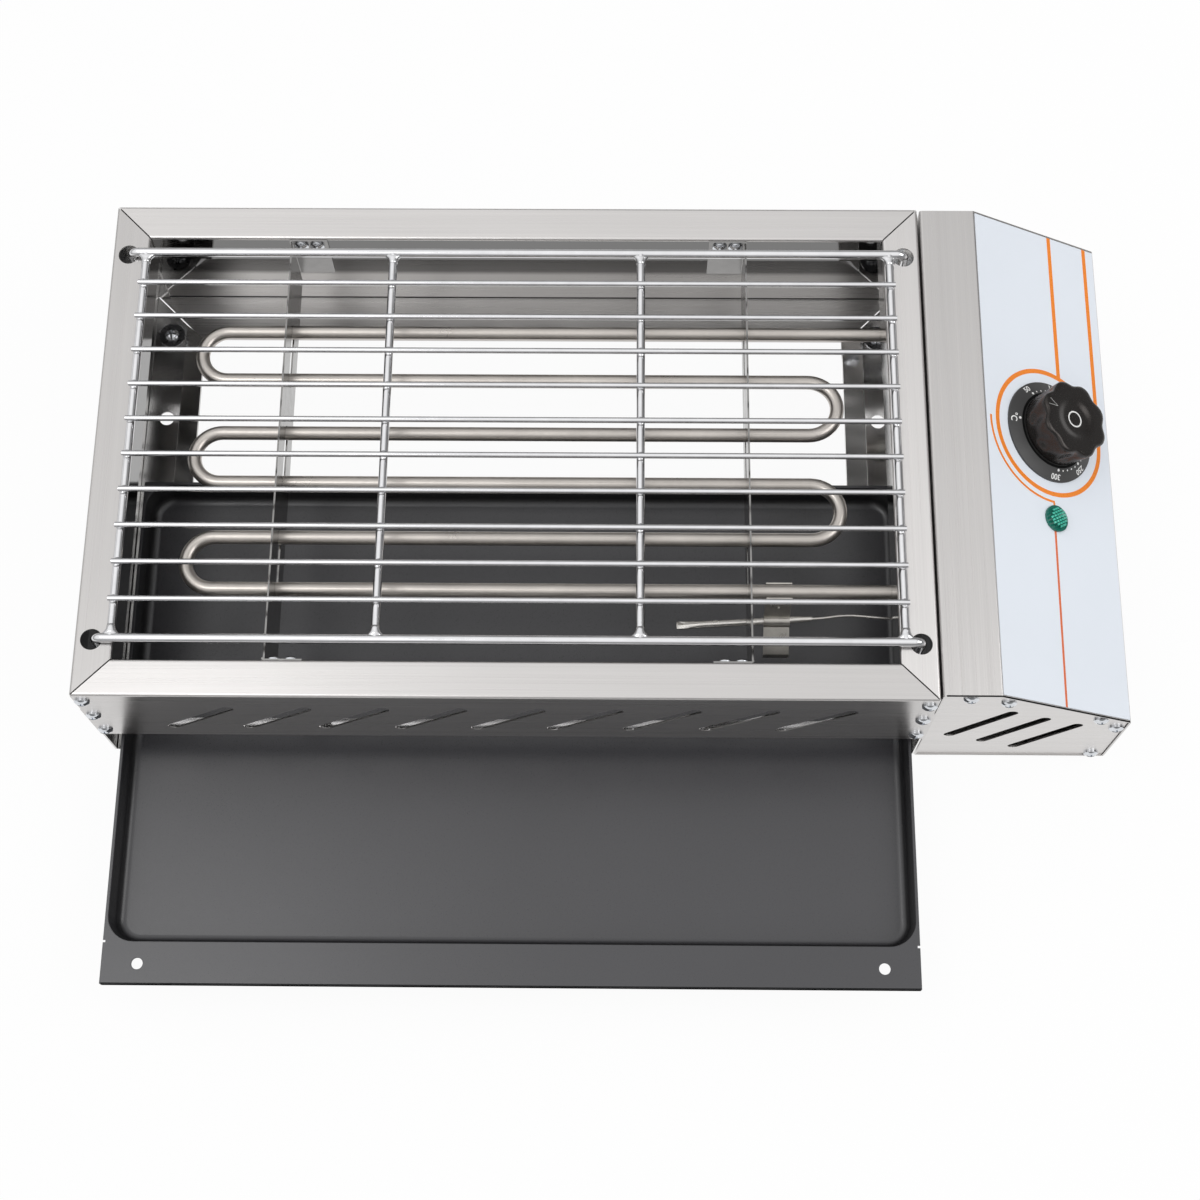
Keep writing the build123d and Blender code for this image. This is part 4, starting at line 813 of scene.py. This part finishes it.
# Painted shade: a black strip on the folded edge along the tray's front
shade_strip_section = (
    (0.6, 0.03), (0.15, 0.03), (-0.06, -0.25), (-0.06, -4.9),
    (0.0, -5.0), (0.3, -5.0), (0.3, -0.4), (0.6, -0.3),
)
bm = strip_along_x(tray_low.x, tray_high.x, 0.4 * MM, 40 * MM, tray_low.y, tray_high.z, shade_strip_section)
add_piece("tray_edge_shade", finished(bm, "tray_edge_shade"), edge_painted_shade, "drip_tray")

# Rivet and embossed marks on the bulb's clip
clip_mid = x_right - 83.2 * MM
strap_top = Vector((clip_mid, -14.3 * MM, 89.6 * MM))
strap_foot = Vector((clip_mid, -20.5 * MM, 74.1 * MM))
lead_top = Vector((clip_mid, -24.5 * MM, 69.35 * MM))
lead_foot = Vector((clip_mid, -38.4 * MM, 61.35 * MM))
half_sheet = 0.4 * MM
level_x = Vector((1, 0, 0))


def on_strap(top, foot, share, aside):
    """Matrix on the strap's outer face, part of the way down it and to one side of its middle."""
    down = (foot - top).normalized()
    normal = down.cross(level_x)
    spot = top.lerp(foot, share) + normal * half_sheet + level_x * (aside * MM)
    return axes_at(spot, level_x, normal.cross(level_x), normal)


bm = bmesh.new()
rivet = on_strap(strap_top, strap_foot, 0.52, 0.4)
button(bm, rivet, 1.7 * MM, 0.3 * MM)
button(bm, rivet, 0.95 * MM, 0.75 * MM)
for aside in (-4.2, 0.6, 3.6):
    button(bm, on_strap(lead_top, lead_foot, 0.45, aside), 0.7 * MM, 0.35 * MM)
add_piece("clip_details", finished(bm, "clip_details"), clip_steel, "grill_body")


# Studio: pale floor, soft light
FLOOR_GREY = 0.86
FLOOR_GLOW = 0.94


def floor_material():
    """Pale floor that reads as white and keeps the object's shadow."""
    mat, tree, surface = blank_material("studio_floor")
    matt = tree.nodes.new("ShaderNodeBsdfDiffuse")
    matt.inputs["Color"].default_value = (FLOOR_GREY, FLOOR_GREY, FLOOR_GREY, 1)
    glow = tree.nodes.new("ShaderNodeEmission")
    glow.inputs["Color"].default_value = (1, 1, 1, 1)
    rays = tree.nodes.new("ShaderNodeLightPath")
    seen = math_node(tree, "MAXIMUM", rays.outputs["Is Camera Ray"], rays.outputs["Is Glossy Ray"])
    seen = math_node(tree, "MAXIMUM", seen, rays.outputs["Is Transmission Ray"])
    blend = tree.nodes.new("ShaderNodeMixShader")
    tree.links.new(math_node(tree, "MULTIPLY", seen, FLOOR_GLOW), blend.inputs["Fac"])
    tree.links.new(matt.outputs["BSDF"], blend.inputs[1])
    tree.links.new(glow.outputs["Emission"], blend.inputs[2])
    tree.links.new(blend.outputs["Shader"], surface)
    return mat


floor_half = 12.0
floor_drop = 0.5 * MM
floor_mesh = bpy.data.meshes.new("studio_floor")
corners = [(floor_half * x, floor_half * y, 0) for x, y in ((-1, -1), (1, -1), (1, 1), (-1, 1))]
floor_mesh.from_pydata(corners, [], [(0, 1, 2, 3)])
floor_mesh.materials.append(floor_material())
floor = bpy.data.objects.new("studio_floor", floor_mesh)
floor.location.z = -floor_drop
bpy.context.scene.collection.objects.link(floor)

# Sky that is light overhead, a little lighter to the left, and grey towards the horizon
world = bpy.data.worlds.new("studio")
bpy.context.scene.world = world
world.use_nodes = True
tree = world.node_tree
tree.nodes.clear()
sky = tree.nodes.new("ShaderNodeBackground")
world_out = tree.nodes.new("ShaderNodeOutputWorld")
tree.links.new(sky.outputs["Background"], world_out.inputs["Surface"])
parts = tree.nodes.new("ShaderNodeSeparateXYZ")
tree.links.new(tree.nodes.new("ShaderNodeTexCoord").outputs["Generated"], parts.inputs["Vector"])
sky_lean = 0.35
lean = math_node(tree, "MULTIPLY", parts.outputs["X"], sky_lean)
sky_levels = [(0.0, 0.30), (0.25, 0.20), (0.42, 0.32), (0.62, 0.68), (0.78, 0.94), (0.95, 1.08)]
sky_height = math_node(tree, "SUBTRACT", parts.outputs["Z"], lean)
tree.links.new(graded(tree, sky_height, sky_levels), sky.inputs["Color"])
sky.inputs["Strength"].default_value = 1.0


def softbox(name, spot, target, size, power):
    """A rectangular lamp at the spot, turned to the target; metres and watts."""
    lamp = bpy.data.lights.new(name, "AREA")
    lamp.shape = "RECTANGLE"
    lamp.size = size[0]
    lamp.size_y = size[1]
    lamp.energy = power
    holder = bpy.data.objects.new(name, lamp)
    holder.location = spot
    holder.rotation_euler = (Vector(target) - Vector(spot)).to_track_quat("-Z", "Y").to_euler()
    bpy.context.scene.collection.objects.link(holder)


softbox("key_light", (-0.72, -0.2, 2.0), (-0.05, 0, 0.05), size=(0.9, 0.7), power=4.9)
softbox("fill_light", (1.5, -0.1, 1.6), (0.1, 0, 0.05), size=(1.4, 1.2), power=12.6)

# Camera at the photo's view
photo_width = 1200
focal_pixels = 2030.34
sensor_width = 36.0
camera_offset = Vector((296.5, -317.9, 1040.2)) * MM
pitch = math.radians(70.2083)
yaw = math.radians(-1.7749)
roll = math.radians(-1.3549)
ahead = Vector((math.sin(yaw) * math.cos(pitch), math.cos(yaw) * math.cos(pitch), -math.sin(pitch)))
level = Vector((math.cos(yaw), -math.sin(yaw), 0))
rise = level.cross(ahead)
cam_x = level * math.cos(roll) + rise * math.sin(roll)
cam_y = rise * math.cos(roll) - level * math.sin(roll)
camera_spot = Vector((x_left, y_front, z_top)) + camera_offset
camera_data = bpy.data.cameras.new("camera")
camera_data.sensor_width = sensor_width
camera_data.lens = sensor_width * focal_pixels / photo_width
camera_data.clip_start = 0.01
camera = bpy.data.objects.new("camera", camera_data)
camera.matrix_world = axes_at(camera_spot, cam_x, cam_y, -ahead)
bpy.context.scene.collection.objects.link(camera)
bpy.context.scene.camera = camera
bpy.context.scene.view_settings.view_transform = "Standard"
